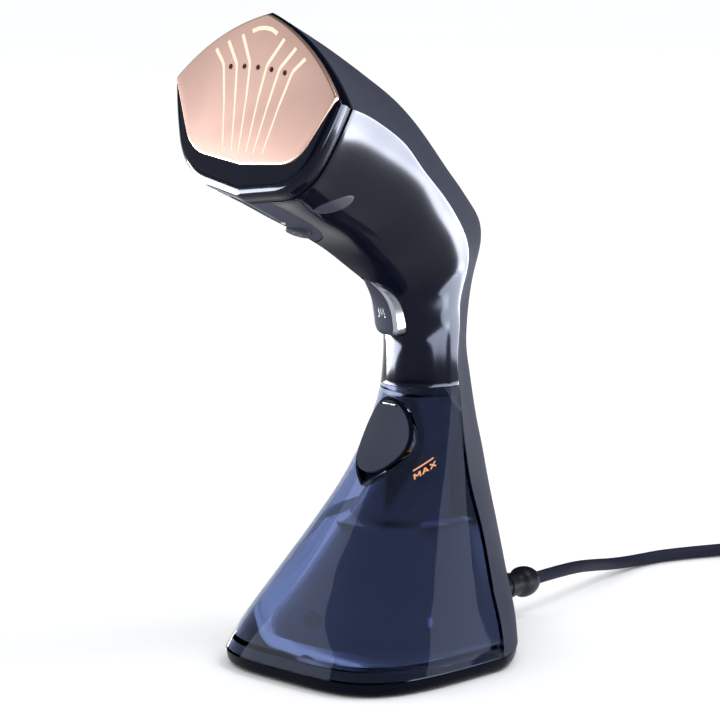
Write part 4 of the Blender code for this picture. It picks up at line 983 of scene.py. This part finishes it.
def ribbon(name, line, width, end_width, place, material, body="housing"):
    """A flat strip that follows a line; place turns its (across, up, out) into a point."""
    line = [Vector(p) for p in line]
    loops = []
    for k, here in enumerate(line):
        way = (line[min(k + 1, len(line) - 1)] - line[max(k - 1, 0)]).normalized()
        half = (width + (end_width - width) * k / (len(line) - 1)) / 2
        side = Vector((-way.y, way.x)) * half
        left, right = here + side, here - side
        top = [place(*left, PRINT_PROUD), place(*right, PRINT_PROUD)]
        loops.append(top + [place(*right, -PRINT_DEEP), place(*left, -PRINT_DEEP)])
    return loft(name, loops, material, body)


print("print stands", PRINT_PROUD, "mm proud")

# %% [markdown]
# Six pale lines fan out between the steam holes: narrow at the foot, wider at the top, with two
# soft bends each. A short crest closes the fan at the top.

# %% Printed lines on the plate
gold_ink = moulded(
    "pale_gold_print", (0.95, 0.74, 0.52), (0.99, 0.80, 0.60), (0.35, 0.45), 1500, 0.004, Metallic=0.25
)
FAN = [  # the right half's lines: end at the top, bend, lower bend, foot
    [(32.0, 16.3), (24.7, 9.2), (19.6, -9.0), (14.2, -33.2)],
    [(24.2, 21.0), (15.3, 9.9), (11.7, -9.0), (7.8, -33.6)],
    [(14.9, 25.0), (6.1, 11.0), (4.2, -6.0), (2.8, -33.4)],
]
CREST = [(-8.6, 27.2), (-4.0, 29.0), (0.4, 29.5), (4.8, 29.1), (9.2, 27.2)]
LINE_TOP, LINE_FOOT, CREST_WIDE, LINE_SOFT = 2.0, 1.0, 2.1, 2


def on_plate(x, up, out):
    """A point on the plate's face, so far out."""
    return in_head(x, up, -out)


def soft_bend(line):
    """The same line with its inner bends eased."""
    points = [Vector(p) for p in line]
    eased = [points[0]]
    for before, here, after in zip(points, points[1:], points[2:]):
        one = here + (before - here).normalized() * LINE_SOFT
        two = here + (after - here).normalized() * LINE_SOFT
        eased += bend(one, here, two, QUARTERS)
    return [*eased, points[-1]]


for k, line in enumerate(FAN):
    for side, word in ((1, "right"), (-1, "left")):
        soft = soft_bend([(side * x, up) for x, up in line])
        strip = ribbon(f"plate_line_{word}_{k}", soft, LINE_TOP, LINE_FOOT, on_plate, gold_ink)
crest = ribbon("plate_crest", CREST, CREST_WIDE, CREST_WIDE, on_plate, gold_ink)
print("printed", 2 * len(FAN) + 1, "lines on the plate")

# %% [markdown]
# ## Control panel
# Under the head a matte tongue carries the power button and its light. It is a wide plate of the
# body's surface, trimmed to the tongue's outline, with a well for the button and a hole for the
# light.

# %% Control panel
BUTTON_RUN, BUTTON_SIZE, BUTTON_PROUD, BUTTON_DEEP = 4.6, (7.5, 5.4), 0.5, 4.5
LIGHT_RUN, LIGHT_R = -7.6, 1.3
panel = shell_piece(
    "control_tongue", [cover_front] + [COLLAR_BACK + 3 + 84 * k / 34 for k in range(35)],
    RIGHT + SIDE_STEPS // 2, LEFT - SIDE_STEPS // 2, 0.5, 1.8, slate,
)
settle(panel, under_prism("tongue_trim", tongue(), -7, 9), operation="INTERSECT")
well = under_prism("button_well", oval(BUTTON_SIZE[0] + GAP, BUTTON_SIZE[1] + GAP, y=BUTTON_RUN), -5, 9)
light_hole = rod("light_hole", under_head(0, LIGHT_RUN, -5), under_head(0, LIGHT_RUN, 9), LIGHT_R + GAP)
settle(panel, well, light_hole)
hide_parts("control_panel")
print("panel has", len(panel.data.polygons), "faces")

# %% [markdown]
# The power button is an oval that sinks into its well. It carries the generic power mark, an open
# ring with a bar, and the mark rides on the button's body so that both sink together.

# %% Power button
button_outline = oval(*BUTTON_SIZE, y=BUTTON_RUN)
button = under_prism("oval_power_button", button_outline, -BUTTON_PROUD, BUTTON_DEEP, slate, "button")
settle(button, round_off=0.5)
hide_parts("power_button")


def on_button(x, run, out):
    """A point on the button's face, so far out."""
    return under_head(x, BUTTON_RUN + run, -BUTTON_PROUD - out)


arc = [(2.3 * sin(a), 2.3 * cos(a)) for a in (0.6 + (2 * pi - 1.2) * k / 24 for k in range(25))]
for name, line in (("power_mark_ring", arc), ("power_mark_bar", [(0, 2.9), (0, 0.6)])):
    mark = ribbon(name, line, 0.55, 0.55, on_button, icon_ink, "button")
print("button has", len(button.data.polygons), "faces")

# %% [markdown]
# ## Trigger
# The trigger hangs in its slot in the neck from a pin at its top. Its level cuts are stacked
# closer together at both ends, where the shape rounds off fastest.

# %% Trigger
TRIGGER_SHOULDER = 2.2
sections = []
for k in range(49):
    level = TRIGGER_CUTS[0][0] + (TRIGGER_CUTS[-1][0] - TRIGGER_CUTS[0][0]) * (1 - cos(pi * k / 48)) / 2
    face_y, half_face, half_base = trigger_cut(-level)
    shoulder = face_y + TRIGGER_SHOULDER * min(1.0, half_face / 5)
    right = [(half_face * s, face_y + 0.5 * s * s) for s in (0.33, 0.66, 0.93)]
    right += [(half_face, face_y + 0.56), (half_base, shoulder), (half_base, TRIGGER_BACK)]
    outline = [(0, face_y)] + right + [(-x, y) for x, y in right[::-1]]
    sections.append([(x, y, level) for x, y in outline])
trigger = loft("steam_trigger_pad", sections, slate, "trigger")
settle(trigger, rod("trigger_bore", (-20, 15.5, 202), (20, 15.5, 202), 1.5), round_off=0.25, angle=24)
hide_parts("steam_trigger")
print("trigger has", len(trigger.data.polygons), "faces")

# %% [markdown]
# A thin glossy strip runs down each side of the trigger, laid over the sloped shoulder and down the
# side. Its light grey colour is a painted highlight for the bright edge line; its gloss also catches the
# lamps.

# %% Chamfer strips with a painted highlight
# Light grey metallic colour: a painted highlight along the trigger's edges, glossy enough to reflect the
# lamps too.
chamfer_highlight = moulded(
    "glossy_chamfer_painted_highlight", (0.32, 0.33, 0.37), (0.36, 0.37, 0.41), (0.12, 0.18), 600, 0.003, Metallic=0.6
)
for side, word in ((1, "right"), (-1, "left")):
    loops = []
    for section in sections[8:44]:
        a, b = Vector(section[4]), Vector(section[5])
        across = b - a
        if across.length < 0.9:
            continue
        out = Vector((across.y, -across.x, 0)).normalized() * 0.06
        near, inner = a + across * 0.16, Vector((-0.3, 0.3, 0))
        wall_out, wall_in = b + Vector((0.1, 6.0, 0)), b + Vector((-0.3, 6.0, 0))
        row = [near + out, b + Vector((0.1, 0, 0)), wall_out, wall_in, b + inner, near + inner]
        loops.append([(side * p.x, p.y, p.z) for p in row])
    edge = loft(f"trigger_chamfer_{word}", loops, chamfer_highlight, "trigger")
print("a chamfer has", len(loops), "cuts")

# %% [markdown]
# The trigger's icon is generic: three wavy lines of rising steam over a short base line.

# %% Steam mark
STEAM_MARK_LEVEL = 186.5


def on_trigger(x, up, out):
    """A point on the trigger's face, from the mark's level, so far out."""
    level = STEAM_MARK_LEVEL + up
    return Vector((x, trigger_cut(-level)[0] + 0.5 * (x / 6) ** 2 - out, level))


for k in range(3):
    climbs = [i * 0.3 for i in range(13)]
    wave = [(1.7 * (k - 1) + 0.45 * sin(v * 2 * pi / 2.4), v - 1.2) for v in climbs]
    mark = ribbon(f"steam_mark_{k}", wave, 0.5, 0.5, on_trigger, icon_ink, "trigger")
base_line = [(-2.6, -2.2), (2.6, -2.2)]
mark = ribbon("steam_mark_base", base_line, 0.6, 0.6, on_trigger, icon_ink, "trigger")
print("steam mark printed")

# %% [markdown]
# ## Column inside the tank
# A dark hollow column carries the wiring from the base to the neck, and the tank wraps round its
# front. It flares to the base like the tank does, so the tank's wall looks dark in the middle and
# clear at the sides.

# %% Column
TANK_TOP, TANK_BOTTOM = 145.7, SOLE_TOP + GAP
COLUMN_CUTS = [  # from the top: level, half width, front y, fullness
    (TANK_TOP, 18.3, 27.5, 2.0), (123.0, 19.5, 24.0, 2.1), (100.0, 22.0, 15.5, 2.2),
    (85.0, 25.5, 6.0, 2.3), (71.0, 31.0, -6.0, 2.4), (58.0, 37.0, -16.0, 2.5),
    (46.0, 42.5, -24.0, 2.6), (34.0, 48.5, -33.0, 2.8), (20.0, 55.0, -42.5, 3.0),
    (8.0, 57.0, -45.0, 3.0),
]
COLUMN_STEPS, COLUMN_WALL = 24, 1.8
column_cut = smooth_table([-row[0] for row in COLUMN_CUTS], [row[1:] for row in COLUMN_CUTS])
tank_levels = [TANK_BOTTOM + (TANK_TOP - TANK_BOTTOM) * k / 52 for k in range(53)]


def tank_edge(level):
    """The body's outline at a level, as vectors."""
    return [Vector(p) for p in body_loop(place_at_level(level))]


def column_at(level, grow=0.0, start_in=0.0):
    """The column's outline at a level, from its right side round the front to its left."""
    half, front_y, full = column_cut(-level)
    half, front_y = half + grow, front_y - grow
    side = tank_edge(level)[RIGHT].y + start_in
    points = []
    for k in range(2 * COLUMN_STEPS + 1):
        a = pi / 2 * k / COLUMN_STEPS
        x = half * abs(cos(a)) ** (2 / full) * (1 if k <= COLUMN_STEPS else -1)
        points.append(Vector((x, side + (front_y - side) * abs(sin(a)) ** (2 / full), level)))
    return points


column_loops = [column_at(z, 0.0, 1.0) + column_at(z, -COLUMN_WALL, 1.0)[::-1] for z in tank_levels]
column = loft("inner_mast", column_loops, dark)
print("column is", round(2 * COLUMN_CUTS[-1][1]), "mm wide at its foot")

# %% [markdown]
# The tank's outlet leaves the column's front at a slope, so the column needs a hole for it.

# %% The column's outlet hole
OUTLET_LEVEL, OUTLET_LEAN, OUTLET_R = 26.0, 34.0, 3.0


def outlet_at(way):
    """A point on the outlet's line, so far inward from the column's front."""
    lean = radians(OUTLET_LEAN)
    y = column_at(OUTLET_LEVEL)[COLUMN_STEPS].y
    return Vector((0, y + way * cos(lean), OUTLET_LEVEL - way * sin(lean)))


settle(column, rod("column_outlet", outlet_at(-1.5), outlet_at(4), OUTLET_R + GAP))
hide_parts("inner_column")
print("column has", len(column.data.polygons), "faces")

# %% [markdown]
# ## The tank
# The tank is one clear, deep-blue moulding: a conical front wall that runs down to the sole, and
# behind it a hollow that clears the column. Real clear plastic needs a real wall, because light
# bends at its outside and its inside. The water is a second clear body just inside.

# %% Clear finishes
clear = moulded(
    "clear_navy_tank", (0.38, 0.44, 0.64), (0.42, 0.48, 0.68), (0.02, 0.035), 300, 0.001,
    Transmission_Weight=1.0, IOR=1.45, Specular_IOR_Level=0.05, Specular_Tint=(0.75, 0.81, 1.0, 1.0),
)
water = moulded(
    "water", (0.80, 0.86, 0.95), (0.84, 0.89, 0.97), (0.0, 0.01), 60, 0.001,
    Transmission_Weight=1.0, IOR=1.33,
)
print("clear finishes made")

# %% [markdown]
# The tank's outline at a level goes round the front and back round the column. Its inside is the
# same outline a wall further in, with the same number of points at each level, so the hollow can
# be skinned like everything else.

# %% The tank's outside and inside
COLUMN_GAP, TANK_WALL, CAVITY_SIDE, CAVITY_EDGE = 0.4, 2.0, 1.6, 0.5


def tank_loop(level):
    """The tank's outline at a level: round the front, then back round the column."""
    outer = tank_edge(level)
    tuck = Vector(body_loop(place_at_level(level), WALL + GAP)[RIGHT])
    column_side = column_at(level, COLUMN_GAP, 1.0)
    edge = (outer[RIGHT + 1] - outer[RIGHT]).normalized() * (GAP / 2)
    first, last = outer[RIGHT] + edge, outer[LEFT] + Vector((-edge.x, edge.y, 0))
    tucks = Vector((-tuck.x, tuck.y, level)), tuck
    return [first, *outer[RIGHT + 1 : LEFT], last, tucks[0], *column_side[::-1], tucks[1]]


def spaced(points, count):
    """The same path with a fixed number of evenly spaced points."""
    table = np.array(points)
    run = np.concatenate([[0], np.cumsum(np.hypot(*np.diff(table, axis=0).T))])
    spots = np.linspace(0, run[-1], count)
    return list(zip(*(np.interp(spots, run, side).tolist() for side in table.T)))


def cavity_loop(level, shrink=0.0):
    """The inside of the tank at a level, clear of its walls."""
    side = tank_edge(level)[RIGHT].y - CAVITY_SIDE - shrink
    outer = [Vector(p) for p in body_loop(place_at_level(level), TANK_WALL + shrink)]
    inner = column_at(level, COLUMN_GAP + TANK_WALL + shrink)
    front_side = [p for p in outer[RIGHT : LEFT + 1] if p.y < side - CAVITY_EDGE]
    column_side = [p for p in inner if p.y < side - CAVITY_EDGE][::-1]
    wide = 0.7 * outer[RIGHT].x + 0.3 * front_side[0].x
    tight = max(column_side[-1].x, inner[0].x - 0.3)
    before = [(wide, side), *((p.x, p.y) for p in front_side), (-wide, side)]
    after = [(-tight, side), *((p.x, p.y) for p in column_side), (tight, side)]
    return [Vector((*p, level)) for p in spaced(before, 120) + spaced(after, 80)]


print("the tank's inside has", len(cavity_loop(TANK_BOTTOM)), "points round")

# %% [markdown]
# The filler door lies on the tank's sloped front. Its frame of reference leans with it. The
# recess round it has the shape of a leaf: an oval that runs down to a point, like a pouring lip.
# A piece there is a patch of the tank's surface, trimmed to its outline by a straight prism.

# %% Shapes on the tank's front
DOOR_LEVEL, DOOR_HALF, DOOR_Y, DOOR_LEAN = 120.5, (15.3, 20.0), 5.2, 28.5
CUP_BORDER, CUP_POINT = 2.0, 27.5


def door_at(x, up, out):
    """A point in the fill door's frame: across, up the tank's front, and out of it."""
    lean = radians(DOOR_LEAN)
    y = DOOR_Y + up * sin(lean) - out * cos(lean)
    return Vector((x, y, DOOR_LEVEL + up * cos(lean) + out * sin(lean)))


def door_prism(name, outline, near=14, far=-22):
    """A cutting shape through the tank's front, square to the door."""
    return loft(name, [[door_at(x, up, d) for x, up in outline] for d in (far, near)], dark, None)


def leaf(grow=0.0):
    """The filler cup's leaf shape: an oval round the door that runs down to a point."""
    wide, tall = DOOR_HALF[0] + CUP_BORDER + grow, DOOR_HALF[1] + CUP_BORDER + grow
    right = [Vector((wide * sin(a), tall * cos(a))) for a in (pi / 2 * k / 20 for k in range(21))]
    side, pull, point = right[-1], Vector((wide, -0.6 * tall)), Vector((0, -CUP_POINT - 1.3 * grow))
    right += bend(side, pull, point, [k / 20 for k in range(1, 21)])
    return [(p.x, p.y) for p in right] + [(-p.x, p.y) for p in right[-2:0:-1]]


def front_piece(name, outline, inset, thick, material, body="housing"):
    """A piece of the tank's front surface inside an outline, some way in and so thick."""
    top, bottom = TANK_TOP, DOOR_LEVEL - CUP_POINT - 3
    rows = [place_at_level(top - (top - bottom) * k / 30) for k in range(31)]
    thing = shell_piece(name, rows, RIGHT + 6, LEFT - 6, inset, thick, material, 0.1, body)
    return settle(thing, door_prism(f"{name}_trim", outline), operation="INTERSECT")


print("the leaf has", len(leaf()), "points")

# %% [markdown]
# The tank's outside is skinned from levels every few millimetres. From it are cut the hollow for
# the water, a skirt under its floor, the leaf-shaped opening for the filler cup, and the outlet.

# %% Clear tank
TANK_FLOOR, TANK_CEILING, SKIRT_TOP = 15.0, 140.5, 12.6
tank = loft("clear_tank", [tank_loop(z) for z in tank_levels], clear)
inside = [TANK_FLOOR + (TANK_CEILING - TANK_FLOOR) * k / 44 for k in range(45)]
skirt = [TANK_BOTTOM - 3, TANK_BOTTOM, 10.0, SKIRT_TOP]
skirt_loops = [[Vector((p.x, p.y, z)) for p in cavity_loop(max(z, TANK_BOTTOM))] for z in skirt]
settle(
    tank, loft("tank_inside", [cavity_loop(z) for z in inside], dark, None),
    loft("tank_skirt", skirt_loops, dark, None),
    front_piece("cup_hole", leaf(GAP), -3.0, 7.0, dark, None),
    rod("tank_outlet_hole", outlet_at(-4), outlet_at(1), OUTLET_R + GAP),
)
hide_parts("water_tank")
print("tank has", len(tank.data.polygons), "faces")

# %% [markdown]
# The water fills a little over half of the tank's height. It is drawn a tenth of a millimetre
# inside the walls, so the two clear bodies never share a face.

# %% Water
WATER_LEVEL = 77.0
depths = [TANK_FLOOR + 0.15 + (WATER_LEVEL - TANK_FLOOR - 0.15) * k / 24 for k in range(25)]
fill = loft("tank_water", [cavity_loop(z, 0.12) for z in depths], water)
print("water stands", WATER_LEVEL, "mm high")

# %% [markdown]
# ## Filler cup and door
# The cup is a shallow dark scoop set in the tank's front, with a round throat through its floor.

# %% Filler cup
CUP_WALL, CUP_DEEP, CUP_FLOOR, THROAT_R = 1.2, 4.4, 1.6, 9.0
cup = front_piece("filler_scoop", leaf(), 0.0, CUP_DEEP + CUP_FLOOR, dark)
settle(
    cup, front_piece("scoop", leaf(-CUP_WALL), -4.0, CUP_DEEP + 4.0, dark, None),
    rod("throat", door_at(0, 0, 3), door_at(0, 0, -20), THROAT_R),
)
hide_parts("filler_cup")
print("cup has", len(cup.data.polygons), "faces")

# %% [markdown]
# The door is an oval that follows the tank's curve and stands a little proud. Its seal, a soft
# ring, sits behind it over the throat, and both ride on the door's body.

# %% Door and seal
DOOR_PIVOT, DOOR_PROUD, DOOR_THICK = (18.2, 0.6), 0.9, 3.0
SEAL_R, SEAL_HOLE_R, SEAL_THICK = 12.0, 10.2, 1.6
door = front_piece("oval_fill_door", oval(*DOOR_HALF, 96), -DOOR_PROUD, DOOR_THICK, slate, "door")
pin_ends = [door_at(x, *DOOR_PIVOT) for x in (-6.1, 6.1)]
settle(door, rod("door_bore", *pin_ends, 1.0), round_off=0.35)
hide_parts("fill_door")
seal_inset = DOOR_THICK - DOOR_PROUD + GAP
seal = front_piece("door_gasket", oval(SEAL_R, SEAL_R), seal_inset, SEAL_THICK, silicone, "door")
settle(seal, door_prism("gasket_hole", oval(SEAL_HOLE_R, SEAL_HOLE_R)), round_off=0.3)
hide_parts("door_seal")
print("door has", len(door.data.polygons), "faces")

# %% [markdown]
# The door's icons are generic: a drop of water, a wave under it and a small arrow that says where
# to lift.


# %% Marks on the door
def skin_at(x, level, out):
    """A point on the tank's front at a distance across and a level, so far out."""
    loop = np.array(body_loop(place_at_level(level), -out))[RIGHT : LEFT + 1]
    return Vector((x, float(np.interp(-x, -loop[:, 0], loop[:, 1])), level))


def on_door(x, up, out):
    """A point on the door's face, so far out."""
    spot = door_at(x, up, 0)
    return skin_at(x, spot.z, DOOR_PROUD + out)


drop = [(0, 6.4), (1.2, 4.2), (2.0, 2.4), (1.9, 0.9), (1.0, -0.1), (0, -0.4)]
door_marks = {
    "door_drop": drop + [(-x, up) for x, up in drop[-2::-1]],
    "door_wave": [(-3.4, -2.6), (-1.7, -2.1), (0, -2.6), (1.7, -3.1), (3.4, -2.6)],
    "door_lift": [(-2.4, -7.4), (0, -5.2), (2.4, -7.4)],
}
for name, line in door_marks.items():
    ribbon(name, line, 0.6, 0.6, on_door, icon_ink, "door")
print("the door has", len(door_marks), "marks")

# %% [markdown]
# ## Level mark
# A sloped line and a generic word show how far the tank may be filled. They are drawn in a small
# turned frame of reference that is wrapped onto the tank: the distance across is measured along
# the tank's outline, so the letters keep their width on the curve.

# %% The mark's frame of reference
MAX_SPOT, MAX_TURN = (30.4, 107.6), 33.0  # along the outline from the front, level, and slope


def on_tank(along, up, out):
    """A point on the tank from the level mark's own turned frame."""
    turn = radians(MAX_TURN)
    level = MAX_SPOT[1] + along * sin(turn) + up * cos(turn)
    loop = np.array(body_loop(place_at_level(level), -out))[RIGHT : LEFT + 1]
    run = np.concatenate([[0], np.cumsum(np.hypot(*np.diff(loop[:, :2], axis=0).T))])
    reach = np.interp(0, -loop[:, 0], run) - MAX_SPOT[0] + along * -cos(turn) + up * sin(turn)
    return Vector((np.interp(reach, run, loop[:, 0]), np.interp(reach, run, loop[:, 1]), level))


print("level mark at", MAX_SPOT)

# %% [markdown]
# The letters are short straight strokes, as a stencil would make them, in a warm copper print.

# %% Level mark
orange = moulded("copper_print", (0.86, 0.36, 0.13), (0.92, 0.42, 0.17), (0.4, 0.5), 1200, 0.004)
LETTERS = {  # strokes across and up, in a letter two wide and three tall
    "M": [[(0, 0), (0, 3)], [(0, 3), (1, 1.1)], [(1, 1.1), (2, 3)], [(2, 3), (2, 0)]],
    "A": [[(0, 0), (1, 3)], [(1, 3), (2, 0)], [(0.45, 0.95), (1.55, 0.95)]],
    "X": [[(0, 0), (2, 3)], [(0, 3), (2, 0)]],
}
MARK_CENTRES, LETTER_WIDE, LETTER_TALL, LETTER_BELOW = (-3.7, 0.3, 4.3), 2.8, 2.9, 3.6
level_line = [(-5.2 + k * 0.65, 0.0) for k in range(17)]
ribbon("level_line", level_line, 0.8, 0.8, on_tank, orange)
for (letter, strokes), centre in zip(LETTERS.items(), MARK_CENTRES):
    for k, stroke in enumerate(strokes):
        one, two = (
            Vector((centre + (x - 1) * LETTER_WIDE / 2, (up - 1.5) * LETTER_TALL / 3 - LETTER_BELOW))
            for x, up in stroke
        )
        line = [one + (two - one) * (s / 6) for s in range(7)]
        ribbon(f"level_letter_{letter}_{k}", line, 0.6, 0.6, on_tank, orange)
print("the level mark has", 1 + sum(len(s) for s in LETTERS.values()), "strokes")

# %% [markdown]
# ## Sole
# The sole rolls under at its edge, so the body seems to stand on a thin shadow. It is a stack of
# level outlines, each inset a little more, with sinks for the four feet and the four screws.

# %% Sole
ground = place_at_level(SOLE_TOP)
ROLL = [  # level, inset
    (SOLE_TOP, 0.8), (7.3, 0.5), (5.5, 0.55), (3.9, 0.8), (2.5, 1.3), (1.5, 2.1), (0.8, 3.4),
]
levels = [[Vector((p[0], p[1], z)) for p in body_loop(ground, inset)] for z, inset in ROLL]
sole = loft("rolled_sole", levels, sole_finish)
sinks = []
for side in (-1, 1):
    for x, y in ((44, -44), (26, 66)):
        sinks.append(rod("foot_pocket", (side * x, y, -2), (side * x, y, 2.7), 6.3))
    for x, y in ((40, -18), (40, 20)):
        sinks.append(rod("screw_hole", (side * x, y, 0), (side * x, y, 10), 1.8))
        sinks.append(rod("screw_sink", (side * x, y, -1), (side * x, y, 3.3), 3.3))
settle(sole, *sinks)
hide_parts("base_plate")
print("sole has", len(sinks), "sinks")

# %% [markdown]
# ## Cord outlet
# At the heel a turned neck with a round bell carries the cord out. It is a single profile spun
# about the cord's line, and it rides on the swivel's body, so it turns in its bush.

# %% Turning neck
NECK = [  # radius, distance back
    (0, 80), (9, 80), (9, 83.7), (5.8, 83.7), (5.8, 100.2), (7.2, 100.4), (7.2, 103.0), (6.2, 103.3),
    (6.2, 105.2), (6.9, 105.5), (7.0, 108.6), (6.3, 109.4), (6.2, 113.6), (6.5, 114.6), (7.6, 115.8),
    (8.4, 117.4), (8.6, 119.2), (8.5, 121.4), (8.0, 123.6), (7.2, 125.6), (6.1, 127.4), (4.8, 128.7),
    (4.0, 129.0), (0, 129.0),
]
neck = turned("turning_neck", (0, 0, 20), (0, 1, 0), NECK, gasket, "swivel")
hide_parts("cord_swivel")
print("neck is", NECK[-1][1] - NECK[0][1], "mm long")

# %% [markdown]
# ## Blank plate
# A blank oval plate lies flush on the head's side. It follows the curved surface: a point of the
# oval is first turned into a step along the body and a step round it, and then found on the
# surface.

# %% Directions on the head's side
BADGE_SPOT, BADGE_TURN = (45.9, 37.1), (14.95, -10.4)  # place and index; long way in the same two


def skin_point(place, index, out):
    """A point on the body's surface from its place and a fractional outline index, so far out."""
    loop = body_loop(place, -out)
    low = int(index)
    return Vector(loop[low % LOOP] * (1 - index + low) + loop[(low + 1) % LOOP] * (index - low))


step = 0.5
middle = skin_point(*BADGE_SPOT, 0)
along_body = (skin_point(BADGE_SPOT[0] + step, BADGE_SPOT[1], 0) - middle) / step
round_body = (skin_point(BADGE_SPOT[0], BADGE_SPOT[1] + step, 0) - middle) / step
long_way = (along_body * BADGE_TURN[0] + round_body * BADGE_TURN[1]).normalized()
short_way = along_body.cross(round_body).normalized().cross(long_way)
basis = np.array([along_body, round_body]).T
print("the plate's middle is", round(middle.z), "mm up")

# %% [markdown]
# The oval is built from rings: flat on top, a small round at the rim, and a skirt that reaches
# into the shell so that no gap shows.

# %% Blank plate
BADGE_HALF = (10.9, 5.2)


def on_badge(a, b, out):
    """A point on the badge, from its own two directions in millimetres."""
    shift = np.linalg.lstsq(basis, np.array(long_way * a + short_way * b), rcond=None)[0]
    return skin_point(BADGE_SPOT[0] + shift[0], BADGE_SPOT[1] + shift[1], out)


rings = [  # share of the oval, how far out
    (0.02, 0.12), (0.3, 0.12), (0.6, 0.12), (0.85, 0.12),
    (0.97, 0.11), (1.0, 0.05), (1.0, -0.4), (0.02, -0.4),
]
loops = []
for share, out in rings:
    ring = oval(BADGE_HALF[0] * share, BADGE_HALF[1] * share, 56)
    loops.append([on_badge(x, y, out) for x, y in ring])
badge_finish = moulded(
    "badge_grey", (0.018, 0.021, 0.036), (0.024, 0.028, 0.046), (0.25, 0.35), 1200, 0.008
)
badge = loft("blank_badge", loops, badge_finish)
print("blank plate has", len(badge.data.polygons), "faces")

# %% [markdown]
# ## Plug
# The plug is a turned rubber body behind a ribbed sleeve that keeps the cord from kinking: seven
# ribs, each a little wider than the last, and then a grip with a shallow waist.

# %% Plug
PLUG_PLACE = (TAIL_X, 283.0, 18.2)
RIBS, RIB_STEP, RIB_DEEP = 7, 4.0, 0.9
sleeve = [(0, 0)]
for k in range(RIBS):
    r, start = 5.0 + 0.35 * k, RIB_STEP * k
    sleeve += [(r, 1 + start), (r, 3.6 + start), (r - RIB_DEEP, 3.9 + start), (r - RIB_DEEP, 4.7 + start)]
grip = [
    (8.0, 30.0), (13.0, 31.5), (16.4, 35.0), (17.8, 40.0), (18.0, 45.0), (17.4, 47.0),
    (17.4, 53.0), (18.0, 55.0), (18.0, 63.5), (17.3, 65.5), (16.5, 66.0), (0, 66.0),
]
plug = turned("mains_plug", PLUG_PLACE, (0, -1, 0), sleeve + grip, gasket)
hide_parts("plug_body")
print("plug is", grip[-1][1], "mm long")

# %% [markdown]
# ## Finishes on the carried-over parts
# Feet, screws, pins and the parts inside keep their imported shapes. Each gets the finish of its own
# stuff: cast aluminium for the steam chamber, copper for the pump's winding, rubber for the feet.

# %% Finishes by node
FINISHES = {
    casting: ["steam_chamber"],
    steel: ["heater_element", "shield_post_left", "shield_post_right", "board_capacitor", "trigger_pin",
            "trigger_bracket", "trigger_spring", "door_pin", "pump_bracket", "base_screw_front_left",
            "base_screw_front_right", "base_screw_rear_left", "base_screw_rear_right"],
    brass: ["inlet_nozzle", "thermal_fuse", "plug_pin_left", "plug_pin_right"],
    mica: ["heat_shield"], laminate: ["circuit_board"], winding: ["pump_coil"],
    dark: ["thermostat", "power_switch", "board_relay", "steam_switch", "pump_body", "cord_bush"],
    silicone: ["power_light", "switch_plunger", "inlet_tube", "delivery_tube", "terminal_block"],
    gasket: ["tank_outlet", "foot_front_left", "foot_front_right", "foot_rear_left", "foot_rear_right"],
}
for finish, names in FINISHES.items():
    for name in names:
        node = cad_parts[name]
        for slot in node.material_slots:
            slot.material = finish
print("finished", sum(len(names) for names in FINISHES.values()), "carried-over parts")

# %% [markdown]
# ## The cord
# The cord and its plug are both drawn above.

# %% Cord and plug
print("cord and plug drawn")
